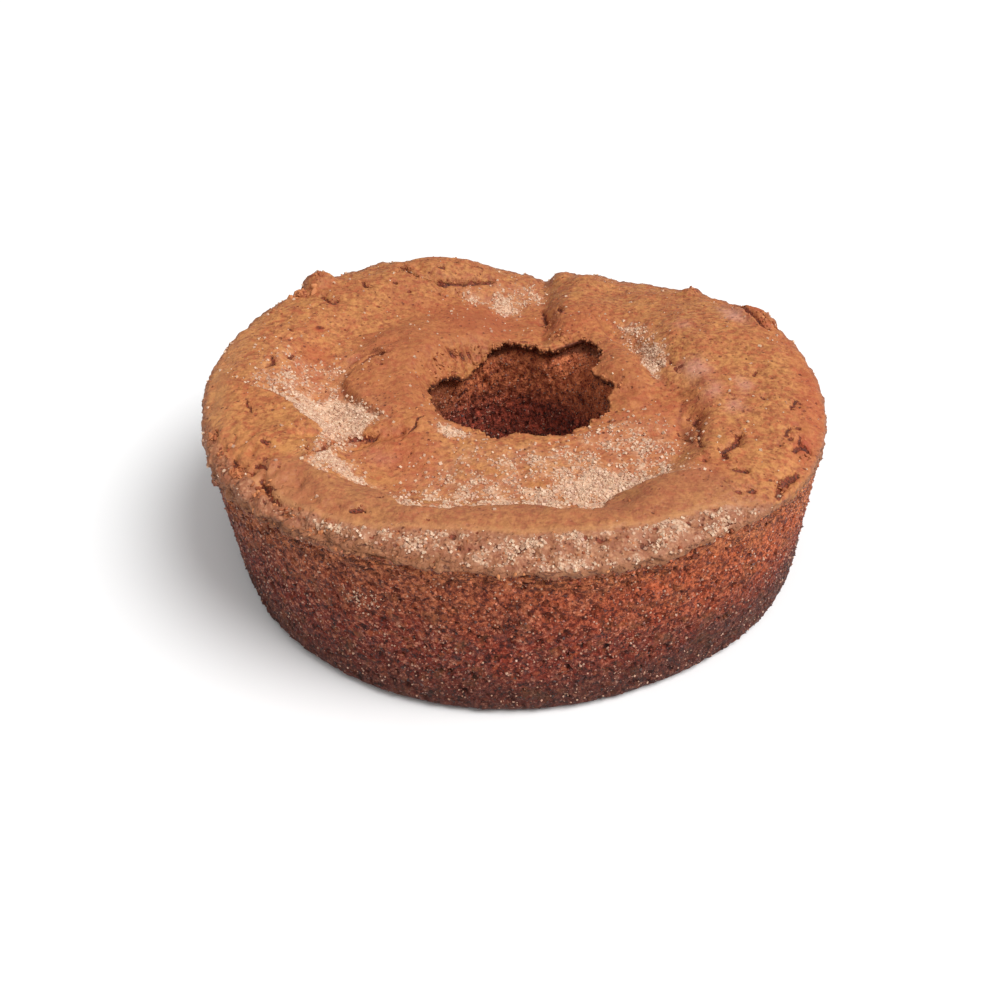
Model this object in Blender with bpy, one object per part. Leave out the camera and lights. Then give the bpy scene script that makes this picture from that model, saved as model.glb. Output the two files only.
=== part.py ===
"""Banana cake, baked in a round tube tin: one solid ring with an uneven, risen crust.

Metres, +Z up. The cake stands on its flat base, with its centre on the Z axis. Angles are compass
angles in degrees, anticlockwise from +X seen from above, so the front of the cake is at 270.

The cake is a plain turned ring first. Its points are then moved on to the real, uneven surface,
which a few tables of sizes round the cake, and a list of lumps and cracks in the crust, describe.
"""
import math
from typing import NamedTuple

import bmesh
import bpy
import numpy as np
from mathutils import Vector, noise

# Driving dimensions
BASE_CORNER = 0.0045          # radius of the bottom corner
BASE_HOLE_RADIUS = 0.0365     # wall of the hole at the base, where the tin's tube was widest
HOLE_RADIUS = 0.0340          # wall of the hole just under the crust
HOLE_LIP = 0.0022             # thickness of the torn crust at the edge of the hole
HOLE_UNDERSIDE = 0.0060       # depth under the hole's rim where the straight wall begins
HOLE_ROLL = 0.0110            # width over which the crust dips into the hole
SHOULDER_WIDTH = 0.0175       # sloping band between the crust's crest and its lip
LIP_ROLL = 0.0030             # width over which the crust's outer edge rolls over
LIP_UNDERCUT = 0.0015         # how far the crust stands out over the wall under it

# Mesh steps
TURN_STEPS = 148
TOP_STATIONS = 21
WALL_STATIONS = 6
HOLE_STATIONS = 5
CORNER_STATIONS = 3

# Sizes round the cake: the value at a few compass angles, with a smooth curve through them
RIM_RADIUS = {0: 0.1213, 30: 0.1190, 60: 0.1178, 88: 0.1172, 115: 0.1180, 150: 0.1195,
              180: 0.1196, 215: 0.1203, 270: 0.1200, 300: 0.1205, 335: 0.1224}
BASE_RADIUS = {0: 0.1195, 60: 0.1175, 120: 0.1160, 180: 0.1142, 207: 0.1144, 232: 0.1168,
               258: 0.1182, 278: 0.1178, 300: 0.1174, 325: 0.1197, 345: 0.1204}
CREST_HEIGHT = {0: 0.0712, 22: 0.0722, 46: 0.0660, 66: 0.0610, 88: 0.0600, 101: 0.0668, 118: 0.0712,
                145: 0.0710, 175: 0.0705, 205: 0.0690, 240: 0.0690, 270: 0.0695, 300: 0.0695,
                335: 0.0690}
SHOULDER_DROP = {0: 0.0045, 45: 0.0025, 90: 0.0030, 135: 0.0030, 175: 0.0045, 210: 0.0060,
                 240: 0.0040, 270: 0.0045, 310: 0.0045, 335: 0.0060}
LIP_HEIGHT = {0: 0.0570, 45: 0.0560, 90: 0.0520, 135: 0.0570, 180: 0.0560, 215: 0.0500,
              240: 0.0585, 270: 0.0618, 305: 0.0620, 330: 0.0565}
INNER_HEIGHT = {0: 0.0650, 25: 0.0650, 50: 0.0640, 68: 0.0625, 88: 0.0595, 110: 0.0625, 140: 0.0640,
                170: 0.0630, 200: 0.0608, 225: 0.0612, 270: 0.0625, 310: 0.0622, 340: 0.0640}
LEDGE_RADIUS = {0: 0.0680, 40: 0.0700, 90: 0.0900, 140: 0.0800, 172: 0.0860, 192: 0.0830,
                212: 0.0770, 232: 0.0900, 255: 0.0880, 283: 0.0880, 291: 0.0930, 300: 0.0870,
                322: 0.0830, 345: 0.0720}
LEDGE_WIDTH = {0: 0.018, 45: 0.030, 90: 0.030, 140: 0.040, 180: 0.018, 210: 0.012,
               235: 0.018, 270: 0.023, 300: 0.020, 325: 0.014, 345: 0.012}
HOLE_RIM_RADIUS = {0: 0.0345, 15: 0.0360, 30: 0.0405, 44: 0.0450, 56: 0.0395, 66: 0.0335,
                   90: 0.0325, 110: 0.0315, 135: 0.0285, 155: 0.0295, 175: 0.0305, 215: 0.0310,
                   245: 0.0332, 260: 0.0375, 278: 0.0345, 300: 0.0362, 325: 0.0368, 340: 0.0405}
HOLE_RIM_HEIGHT = {0: 0.0650, 20: 0.0670, 45: 0.0660, 62: 0.0615, 90: 0.0612, 104: 0.0585,
                   124: 0.0500, 145: 0.0545, 165: 0.0580, 190: 0.0600, 225: 0.0605, 270: 0.0605,
                   325: 0.0615}


class Lump(NamedTuple):
    """A raised or sunken patch of crust: its middle, how far it spreads, and how sharply it ends."""
    angle: float      # degrees
    radius: float
    half_turn: float  # degrees
    half_width: float
    height: float
    edge: float       # 2 is a soft mound, 4 has steep edges


class Crack(NamedTuple):
    """A straight crease pressed or torn into the crust between two places."""
    start_angle: float
    start_radius: float
    end_angle: float
    end_radius: float
    width: float
    depth: float


LUMPS = (
    Lump(186, 0.0480, 44, 0.0175, 0.0052, 4),    # collar of crust left of the hole
    Lump(128, 0.0500, 30, 0.0150, 0.0030, 3),    # the same collar, behind the hole
    Lump(10, 0.0430, 34, 0.0110, 0.0035, 4),     # collar right of the hole
    Lump(71, 0.0990, 7, 0.0160, 0.0050, 2),      # hump beside the back crease
    Lump(64, 0.0660, 13, 0.0220, 0.0035, 3),     # the hump's ridge, running down to the hole
    Lump(88, 0.0700, 9, 0.0200, -0.0030, 3),     # dip left of the back crease
    Lump(107, 0.1060, 11, 0.0090, 0.0025, 3),    # ridge behind the crack at the back rim
    Lump(24, 0.0580, 18, 0.0045, -0.0030, 3),    # furrow between the right collar and the rim
    Lump(200, 0.0650, 16, 0.0130, -0.0015, 3),   # hollow full of sugar on the left
    Lump(243, 0.0720, 12, 0.0120, -0.0015, 3),   # hollow at the front left
    Lump(334, 0.0740, 9, 0.0050, -0.0020, 3),    # groove at the foot of the right terrace
    Lump(140, 0.1150, 3.4, 0.0070, 0.0062, 4),   # loose flake on the back left rim
    Lump(44, 0.1140, 1.8, 0.0050, 0.0025, 4),    # small flakes on the back right rim
    Lump(23, 0.1150, 5.0, 0.0070, 0.0025, 4),
    Lump(78, 0.1100, 2.6, 0.0090, 0.0030, 3),    # notch side of the hump, at the rim
)
CRACKS = (
    Crack(82, 0.1130, 77, 0.0680, 0.0050, 0.0030),     # back crease, from the rim
    Crack(77, 0.0680, 71, 0.0400, 0.0050, 0.0040),     # back crease, down to the hole
    Crack(116, 0.1020, 110, 0.0850, 0.0028, 0.0022),   # crack along the back rim
    Crack(110, 0.0850, 97, 0.0810, 0.0028, 0.0022),
    Crack(213, 0.0880, 223, 0.0560, 0.0030, 0.0024),   # fold at the front left
    Crack(171, 0.0690, 152, 0.0540, 0.0028, 0.0016),   # edge of the left collar
    Crack(345, 0.0400, 347, 0.0460, 0.0040, 0.0030),   # nick at the right of the hole
)

# Unevenness that follows no feature: how large it is, and the length of its waves
CRUST_WAVE = (0.0008, 0.0140)
WALL_WAVE = (0.0005, 0.0110)
TORN_WAVE = (0.0022, 0.0090)      # the broken crust at the front left of the rim
TORN_CRUST = Lump(222, 0.1110, 20, 0.0110, 1.0, 4)
HOLE_EDGE_WAVE = (0.0012, 0.0080)
LIP_EDGE_WAVE = (0.0012, 0.0200)


def around(angle, table):
    """Values at compass angles, on the smooth closed curve through a table's values."""
    stops = np.array(sorted(table), dtype=float)
    values = np.array([table[stop] for stop in sorted(table)])
    stops = np.concatenate((stops[-2:] - 360, stops, stops[:2] + 360))
    values = np.concatenate((values[-2:], values, values[:2]))
    slopes = np.gradient(values, stops)
    angle = np.mod(angle, 360)
    index = np.searchsorted(stops, angle, side="right") - 1
    span = stops[index + 1] - stops[index]
    t = (angle - stops[index]) / span
    line = (1 + 2 * t) * (1 - t) ** 2 * values[index] + t * t * (3 - 2 * t) * values[index + 1]
    bend = t * (1 - t) ** 2 * slopes[index] - t * t * (1 - t) * slopes[index + 1]
    return line + span * bend


def smooth_step(value, low, high):
    """0 below low, 1 above high, and an S-shaped rise between them."""
    t = np.clip((value - low) / (high - low), 0, 1)
    return t * t * (3 - 2 * t)


def lump_height(lump, angle, radius):
    """How much one lump adds at places of the crust."""
    across = np.abs(np.mod(angle - lump.angle + 180, 360) - 180) / lump.half_turn
    along = np.abs(radius - lump.radius) / lump.half_width
    return lump.height * np.exp(-across ** lump.edge - along ** lump.edge)


def crack_depth(crack, angle, radius):
    """How deep one crack is at places of the crust."""
    place = radius * np.exp(1j * np.radians(angle))
    start = crack.start_radius * np.exp(1j * math.radians(crack.start_angle))
    line = crack.end_radius * np.exp(1j * math.radians(crack.end_angle)) - start
    t = np.clip(((place - start) * np.conj(line)).real / abs(line) ** 2, 0, 1)
    distance = np.abs(place - start - line * t)
    return crack.depth * np.exp(-(distance / crack.width) ** 2)


def crust_height(angle, radius):
    """Height of the crust's top at compass angles and radii."""
    inner = around(angle, INNER_HEIGHT)
    ledge = around(angle, LEDGE_RADIUS)
    half_width = around(angle, LEDGE_WIDTH) / 2
    rise = around(angle, CREST_HEIGHT) - inner
    height = inner + rise * smooth_step(radius, ledge - half_width, ledge + half_width)
    down = np.clip((radius - around(angle, RIM_RADIUS)) / SHOULDER_WIDTH + 1, 0, 1)
    height = height - around(angle, SHOULDER_DROP) * down ** 1.8
    height = height + sum(lump_height(lump, angle, radius) for lump in LUMPS)
    height = height - np.max([crack_depth(crack, angle, radius) for crack in CRACKS], axis=0)
    into_hole = np.clip(1 - (radius - around(angle, HOLE_RIM_RADIUS)) / HOLE_ROLL, 0, 1)
    return height - (height - around(angle, HOLE_RIM_HEIGHT)) * into_hole ** 2


def wave(place, size_and_length):
    """Smooth unevenness at a place."""
    size, length = size_and_length
    return size * noise.fractal(Vector(place) / length, 0.9, 2.1, 3)


def edge_wave(angles, radius, size_and_length, level):
    """Unevenness along a round edge. Each edge has its own level in the noise."""
    turns = np.radians(angles)
    return np.array([wave((radius * math.cos(turn), radius * math.sin(turn), level), size_and_length)
                     for turn in turns])


def section(angles):
    """The cut face at each compass angle: radii and heights, station by station.

    It runs from the base's inner edge up the hole, over the crust, down the outer wall and round
    the bottom corner.
    """
    hole_radius = around(angles, HOLE_RIM_RADIUS) + edge_wave(angles, 0.04, HOLE_EDGE_WAVE, 0.3)
    hole_height = around(angles, HOLE_RIM_HEIGHT)
    rim_radius = around(angles, RIM_RADIUS)
    lip_height = around(angles, LIP_HEIGHT) + edge_wave(angles, 0.12, LIP_EDGE_WAVE, 0.6)
    stations = [(BASE_HOLE_RADIUS, 0)]
    torn_back = np.maximum(0, hole_radius - HOLE_RADIUS)
    for part in np.linspace(0, 1, HOLE_STATIONS + 1)[1:]:
        radius = BASE_HOLE_RADIUS + (HOLE_RADIUS - BASE_HOLE_RADIUS) * part + torn_back * part ** 4
        stations.append((radius, (hole_height - HOLE_UNDERSIDE) * part))
    stations.append((hole_radius, hole_height - HOLE_LIP))
    for part in np.linspace(0, 1, TOP_STATIONS):
        radius = hole_radius + (rim_radius - LIP_ROLL - hole_radius) * part
        stations.append((radius, crust_height(angles, radius)))
    top_end = stations[-1][1]
    stations.append((rim_radius - LIP_ROLL / 4, top_end - LIP_ROLL / 2))
    stations.append((rim_radius, (top_end + lip_height) / 2))
    stations.append((rim_radius - LIP_ROLL / 5, lip_height))
    wall_radius = rim_radius - LIP_UNDERCUT
    base_radius = around(angles, BASE_RADIUS)
    for part in np.linspace(0, 1, WALL_STATIONS):
        height = (lip_height - LIP_UNDERCUT) * (1 - part) + BASE_CORNER * part
        stations.append((wall_radius + (base_radius - wall_radius) * part, height))
    for turn in np.linspace(0, math.pi / 2, CORNER_STATIONS + 1)[1:]:
        radius = base_radius - BASE_CORNER * (1 - math.cos(turn))
        stations.append((radius, BASE_CORNER * (1 - math.sin(turn))))
    radii = np.stack([np.broadcast_to(radius, angles.shape) for radius, _ in stations], axis=1)
    heights = np.stack([np.broadcast_to(height, angles.shape) for _, height in stations], axis=1)
    return radii, heights


def turned_ring(radii, heights):
    """The section at the right of the cake, spun round the Z axis. Each point keeps its station."""
    ring = bmesh.new()
    station = ring.verts.layers.int.new("station")
    corners = [ring.verts.new((radius, 0, height)) for radius, height in zip(radii, heights)]
    for index, corner in enumerate(corners):
        corner[station] = index
    edges = [ring.edges.new((corner, corners[index - 1])) for index, corner in enumerate(corners)]
    bmesh.ops.spin(ring, geom=corners + edges, axis=(0, 0, 1), cent=(0, 0, 0), angle=math.tau,
                   steps=TURN_STEPS, use_merge=True, use_duplicate=False)
    return ring, station


def uneven_cake():
    """The turned ring with every point moved on to the real cake's surface."""
    angles = np.arange(TURN_STEPS) * 360 / TURN_STEPS
    radii, heights = section(angles)
    cake, station = turned_ring(radii[0], heights[0])
    for point in cake.verts:
        step = round(math.atan2(point.co.y, point.co.x) / math.tau * TURN_STEPS) % TURN_STEPS
        turn = math.tau * step / TURN_STEPS
        radius = radii[step, point[station]]
        point.co = (radius * math.cos(turn), radius * math.sin(turn), heights[step, point[station]])
    bmesh.ops.recalc_face_normals(cake, faces=cake.faces)
    return cake


def roughen(cake):
    """Adds the unevenness of crust and crumb, along the surface's own directions."""
    cake.normal_update()
    moves = []
    for point in cake.verts:
        angle = math.degrees(math.atan2(point.co.y, point.co.x))
        upward = max(0.0, point.normal.z)
        torn = lump_height(TORN_CRUST, angle, point.co.xy.length) * upward
        crust = wave(point.co, CRUST_WAVE) * (1 - torn) + wave(point.co, TORN_WAVE) * torn
        moves.append(point.normal * (crust * upward + wave(point.co, WALL_WAVE) * (1 - upward)))
    for point, move in zip(cake.verts, moves):
        if point.co.z > BASE_CORNER:
            point.co += move


def stand_centred(cake):
    """Moves the cake so that its box is centred on the Z axis and stands on z = 0."""
    places = np.array([point.co for point in cake.verts])
    low, high = places.min(axis=0), places.max(axis=0)
    middle = (low + high) / 2
    bmesh.ops.translate(cake, verts=cake.verts, vec=(-middle[0], -middle[1], -low[2]))


def crust_material():
    """Baked brown crust, as it looks from a step away."""
    material = bpy.data.materials.new("brown_crust")
    material.use_nodes = True
    shader = material.node_tree.nodes["Principled BSDF"]
    shader.inputs["Base Color"].default_value = (0.42, 0.19, 0.085, 1)
    shader.inputs["Roughness"].default_value = 0.75
    shader.inputs["Metallic"].default_value = 0
    return material


def build():
    """Clears the scene and makes the cake."""
    for old in list(bpy.data.objects):
        bpy.data.objects.remove(old)
    shape = uneven_cake()
    roughen(shape)
    stand_centred(shape)
    mesh = bpy.data.meshes.new("cake")
    shape.to_mesh(mesh)
    shape.free()
    mesh.materials.append(crust_material())
    mesh.shade_smooth()
    cake = bpy.data.objects.new("cake", mesh)
    bpy.context.scene.collection.objects.link(cake)


build()
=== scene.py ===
# %% [markdown]
# # A banana cake, baked in a ring tin
#
# This lesson dresses one cake: a ring about 24 cm across with a cracked brown crust, sugar on top,
# a dark coarse side that stood against the tin, and a torn hole where the tin's tube came out. The
# plain solid from CAD says where everything is. We build the surfaces that are seen round it, and
# give them their colour, their crumbs and their sugar.

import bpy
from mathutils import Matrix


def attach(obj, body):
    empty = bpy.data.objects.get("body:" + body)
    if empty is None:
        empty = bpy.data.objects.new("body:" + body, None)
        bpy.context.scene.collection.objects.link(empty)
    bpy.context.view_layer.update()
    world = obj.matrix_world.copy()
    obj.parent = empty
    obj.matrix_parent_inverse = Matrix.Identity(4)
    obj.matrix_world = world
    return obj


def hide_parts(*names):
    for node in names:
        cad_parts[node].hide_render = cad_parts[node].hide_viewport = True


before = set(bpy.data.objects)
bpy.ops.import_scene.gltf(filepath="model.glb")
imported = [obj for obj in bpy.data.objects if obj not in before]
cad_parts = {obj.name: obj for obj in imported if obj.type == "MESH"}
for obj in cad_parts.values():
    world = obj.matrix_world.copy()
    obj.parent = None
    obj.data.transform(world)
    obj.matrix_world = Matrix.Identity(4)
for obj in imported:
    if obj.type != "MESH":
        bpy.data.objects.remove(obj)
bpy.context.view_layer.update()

# %% Libraries, units and seeds
import math

import bmesh
import bpy
import numpy as np
from mathutils import Matrix, Vector, noise

MILLIMETRE = 0.001
CAD_CENTRING = np.array((-0.000804, 0.001428, 0.0))   # how far CAD moved the finished cake
PIT_SEED, SUGAR_SEED, CRUMB_SEED, CHIP_SEED, FLAKE_SEED = 4, 11, 12, 13, 14
print("centred by", CAD_CENTRING / MILLIMETRE, "mm")

# %% [markdown]
# ## The size of the cake
#
# The real cake isn't a perfect ring. Its rim, crest, ledge and hole all wander as you go round, so
# each is a small table: millimetres at a few compass angles, with a smooth curve through them.
# Angles are in degrees, anticlockwise from the right seen from above, so the front is at 270. Most
# tables are the ones that the solid was made from. The lip, the shoulder's edge and the hole's torn
# edge are drawn here in finer detail. Single sizes are in metres, as Blender works in them.

# %% Sizes round the cake
BASE_CORNER = 0.0045
BASE_HOLE_RADIUS = 0.0365
HOLE_RADIUS = 0.0340
HOLE_ROLL = 0.0110
SHOULDER_WIDTH = 0.0175
LIP_ROLL = 0.0030
LIP_UNDERCUT = 0.0015

RIM_RADIUS = {0: 121.3, 30: 119, 60: 117.8, 88: 117.2, 115: 118, 150: 119.5, 180: 119.6,
              215: 120.3, 270: 120, 300: 120.5, 335: 122.4}
BASE_RADIUS = {0: 119.5, 60: 117.5, 120: 116, 180: 114.2, 207: 114.4, 232: 116.8, 258: 118.2,
               278: 117.8, 300: 117.4, 325: 119.7, 345: 120.4}
CREST_HEIGHT = {0: 71.2, 22: 72.2, 46: 66, 66: 61, 88: 60, 101: 66.8, 118: 71.2, 145: 71,
                175: 70.5, 205: 69, 240: 69, 270: 69.5, 300: 69.5, 335: 69}
SHOULDER_DROP = {0: 4.5, 45: 2.5, 90: 3, 135: 3, 175: 4.5, 210: 6, 240: 4, 270: 4.5, 310: 4.5,
                 335: 6}
SHOULDER_EDGE = {0: 120, 40: 116, 90: 112, 140: 115, 180: 118, 215: 115, 233: 114.2, 245: 111.6,
                 256: 106.2, 270: 105, 282: 107, 290: 108.4, 300: 109.8, 308: 112, 316: 120,
                 335: 121.5}
LIP_HEIGHT = {0: 57, 45: 56, 90: 52, 135: 57, 180: 56, 215: 51.5, 228: 57.5, 240: 61.2, 262: 63.6,
              275: 62.4, 285: 59.6, 293: 60, 305: 62.2, 318: 60, 330: 57}
INNER_HEIGHT = {0: 65, 25: 65, 50: 64, 68: 62.5, 88: 59.5, 110: 62.5, 140: 64, 170: 63, 200: 60.8,
                225: 61.2, 270: 62.5, 310: 62.2, 340: 64}
LEDGE_RADIUS = {0: 68, 40: 70, 90: 90, 140: 80, 172: 86, 192: 83, 212: 77, 232: 90, 255: 88,
                283: 88, 291: 93, 300: 87, 322: 83, 345: 72}
LEDGE_WIDTH = {0: 18, 45: 30, 90: 30, 140: 40, 180: 18, 210: 12, 235: 18, 270: 23, 300: 20,
               325: 14, 345: 12}
HOLE_RIM_HEIGHT = {0: 65, 20: 67, 45: 66, 62: 61.5, 90: 61.2, 104: 58.5, 124: 50, 145: 54.5,
                   165: 58, 190: 60, 225: 60.5, 270: 60.5, 325: 61.5}
TORN_EDGE = {1: 35.8, 30: 41.9, 38: 44.9, 48: 42.9, 55: 38.5, 62: 33.6, 72: 31.8, 84: 31.4,
             99: 31.8, 110: 32.5, 118: 31.8, 127: 29.6, 140: 29.6, 153: 30.4, 166: 31.8, 180: 33,
             195: 33, 208: 35, 220: 36, 236: 34.9, 252: 35.3, 261: 39, 269: 36, 285: 36.2,
             299: 38.7, 309: 40.8, 321: 40.5, 331: 42.2, 345: 40, 353: 41.5}
TORN_RISE = {0: 0, 58: 0, 74: 1.6, 100: 2.2, 126: 2.6, 150: 1.2, 172: 0, 200: 0.6, 270: 0}

# %% Curves and noise
FADE, FINER = 0.9, 2.1     # how fast the smaller waves fade, and how much finer each is


def around(angle, table):
    """Metres at compass angles, on the smooth closed curve through a table of millimetres."""
    stops = np.array(sorted(table), dtype=float)
    values = np.array([table[stop] for stop in sorted(table)]) * MILLIMETRE
    stops = np.concatenate((stops[-2:] - 360, stops, stops[:2] + 360))
    values = np.concatenate((values[-2:], values, values[:2]))
    slopes = np.gradient(values, stops)
    angle = np.mod(angle, 360)
    index = np.searchsorted(stops, angle, side="right") - 1
    span = stops[index + 1] - stops[index]
    t = (angle - stops[index]) / span
    line = (1 + 2 * t) * (1 - t) ** 2 * values[index] + t * t * (3 - 2 * t) * values[index + 1]
    bend = t * (1 - t) ** 2 * slopes[index] - t * t * (1 - t) * slopes[index + 1]
    return line + span * bend


def smooth_step(value, low, high):
    """0 below low, 1 above high, and an S-shaped rise between them."""
    t = np.clip((value - low) / (high - low), 0, 1)
    return t * t * (3 - 2 * t)


def stretch(value, start, full, fade, end):
    """1 on a stretch and 0 off it, with a smooth start and a smooth end."""
    return smooth_step(value, start, full) * (1 - smooth_step(value, fade, end))


def bell(distance, width):
    """1 at no distance, falling smoothly to 0 over a width or two."""
    return np.exp(-(distance / width) ** 2)


def wave(places, size, length, octaves=3):
    """Smooth unevenness at places, about as large as size, with waves of that length."""
    return size * np.array([noise.fractal(Vector(place), FADE, FINER, octaves)
                            for place in places / length])


test_angles = np.arange(0, 360, 30)
print("rim radius every 30 degrees, mm:", np.round(around(test_angles, RIM_RADIUS) * 1000, 1))

# %% [markdown]
# ## Lumps, folds and cracks of the crust
#
# While a cake bakes, its crust dries and stiffens before the inside has finished rising, so it
# lifts, slides and tears. A lump is a soft patch that is higher or lower. A fold is a line where
# one sheet of crust lies over the next: a sudden little step on one side that fades away. A crack
# is a thin torn line, and a pit a burst bubble. Each is a row of places and sizes, in degrees and
# millimetres, because that is how a maker would point at them, and one function turns each kind
# into height.

# %% Lumps and creases, the same as in the solid
LUMPS = (     # angle, distance from the middle, half turn in degrees, half width, height, edge
    (186, 48, 44, 17.5, 5.2, 4),  # collar of crust left of the hole
    (128, 50, 30, 15, 3, 3),      # the same collar, behind the hole
    (10, 43, 34, 11, 3.5, 4),     # collar right of the hole
    (71, 99, 7, 16, 5, 2),        # hump beside the back crease
    (64, 66, 13, 22, 3.5, 3),     # the hump's ridge, running down to the hole
    (88, 70, 9, 20, -3, 3),       # dip left of the back crease
    (107, 106, 11, 9, 2.5, 3),    # ridge behind the crack at the back rim
    (24, 58, 18, 4.5, -3, 3),     # furrow between the right collar and the rim
    (200, 65, 16, 13, -1.5, 3),   # hollow full of sugar on the left
    (243, 72, 12, 12, -1.5, 3),   # hollow at the front left
    (334, 74, 9, 5, -2, 3),       # groove at the foot of the right terrace
    (140, 115, 3.4, 7, 6.2, 4),   # loose flake on the back left rim
    (44, 114, 1.8, 5, 2.5, 4),    # small flakes on the back right rim
    (23, 115, 5, 7, 2.5, 4),
    (78, 110, 2.6, 9, 3, 3),      # notch side of the hump, at the rim
)
CREASES = (   # angle and distance from the middle of one end, then of the other, width, depth
    (82, 113, 77, 68, 5, 3),         # back crease, from the rim
    (77, 68, 71, 40, 5, 4),          # back crease, down to the hole
    (116, 102, 110, 85, 2.8, 2.2),   # crack along the back rim
    (110, 85, 97, 81, 2.8, 2.2),
    (213, 88, 223, 56, 3, 2.4),      # fold at the front left
    (171, 69, 152, 54, 2.8, 1.6),    # edge of the left collar
    (345, 40, 347, 46, 4, 3),        # nick at the right of the hole
)


def mounds(rows, angle, radius):
    """Height of some lumps. An edge of 2 makes a soft mound, and 4 one with steep sides."""
    height = 0
    for middle, out, half_turn, half_width, top, edge in rows:
        across = np.abs(np.mod(angle - middle + 180, 360) - 180) / half_turn
        along = np.abs(radius / MILLIMETRE - out) / half_width
        height = height + top * np.exp(-across ** edge - along ** edge)
    return height


def plan(angle, radius):
    """A place seen from above, as one complex number: right is real, back is imaginary."""
    return radius * np.exp(1j * np.radians(angle))


def crease_depth(crease, places):
    """How deep one crease is at places."""
    *ends, width, depth = crease
    start = plan(*ends[:2])
    line = plan(*ends[2:]) - start
    t = np.clip(((places - start) * np.conj(line)).real / abs(line) ** 2, 0, 1)
    return depth * bell(np.abs(places - start - line * t), width)


def form_height(angle, radius):
    """Height of the crust's main form, as in the solid."""
    inner = around(angle, INNER_HEIGHT)
    ledge, half_width = around(angle, LEDGE_RADIUS), around(angle, LEDGE_WIDTH) / 2
    rise = around(angle, CREST_HEIGHT) - inner
    height = inner + rise * smooth_step(radius, ledge - half_width, ledge + half_width)
    down = np.clip((radius - around(angle, RIM_RADIUS)) / SHOULDER_WIDTH + 1, 0, 1)
    height = height - around(angle, SHOULDER_DROP) * down ** 1.8
    places = plan(angle, radius / MILLIMETRE)
    creased = np.max([crease_depth(crease, places) for crease in CREASES], axis=0)
    return height + (mounds(LUMPS, angle, radius) - creased) * MILLIMETRE


print(len(LUMPS), "lumps and", len(CREASES), "creases shape the crust's main form")

# %% Folds and cracks: two sizes, then the places that the line runs through
TERRACE = (1.5, 8, (220, 96), (225, 96), (230, 96), (233, 92), (236, 88), (241, 89), (246.5, 94),
           (249, 97.5), (253, 96), (258, 94), (260.5, 90), (264, 90), (269, 87.5), (274.5, 87),
           (278, 89.5), (280, 93), (286, 95), (289, 92), (292.5, 85.5), (296, 83), (301.5, 85),
           (306, 85.5), (309, 90), (313, 95))
RIDGE = (1.5, 10, (183, 117), (188, 106), (190.5, 98.5), (193.5, 91.5), (200, 86), (207.5, 83.5),
         (214, 80))
LEFT_COLLAR = (1.8, 8, (213.5, 55), (203, 58.8), (190, 64.8), (182, 66.5), (176, 65))
FOLDS = (     # height of the step, how far it takes to fade, places with the sheet on their right
    TERRACE, RIDGE, LEFT_COLLAR,
    (1.2, 5, (220, 60), (217.5, 64.5), (214.5, 68.5), (214.5, 74), (217.5, 80), (220.5, 86),
     (219, 92)),
    (1.2, 7, (171, 52), (165, 55), (163, 60), (166, 66), (174, 70)),     # back of the left collar
    (1.2, 7, (30, 60), (22, 56), (12, 55), (2, 57), (354, 62)),     # outside of the right collar
    (1, 6, (60, 66), (50, 60), (44, 56), (40, 50)),
    (0.4, 6, (317, 90), (323, 84), (330, 76), (336, 70), (345, 69)),     # right terrace
)
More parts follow.
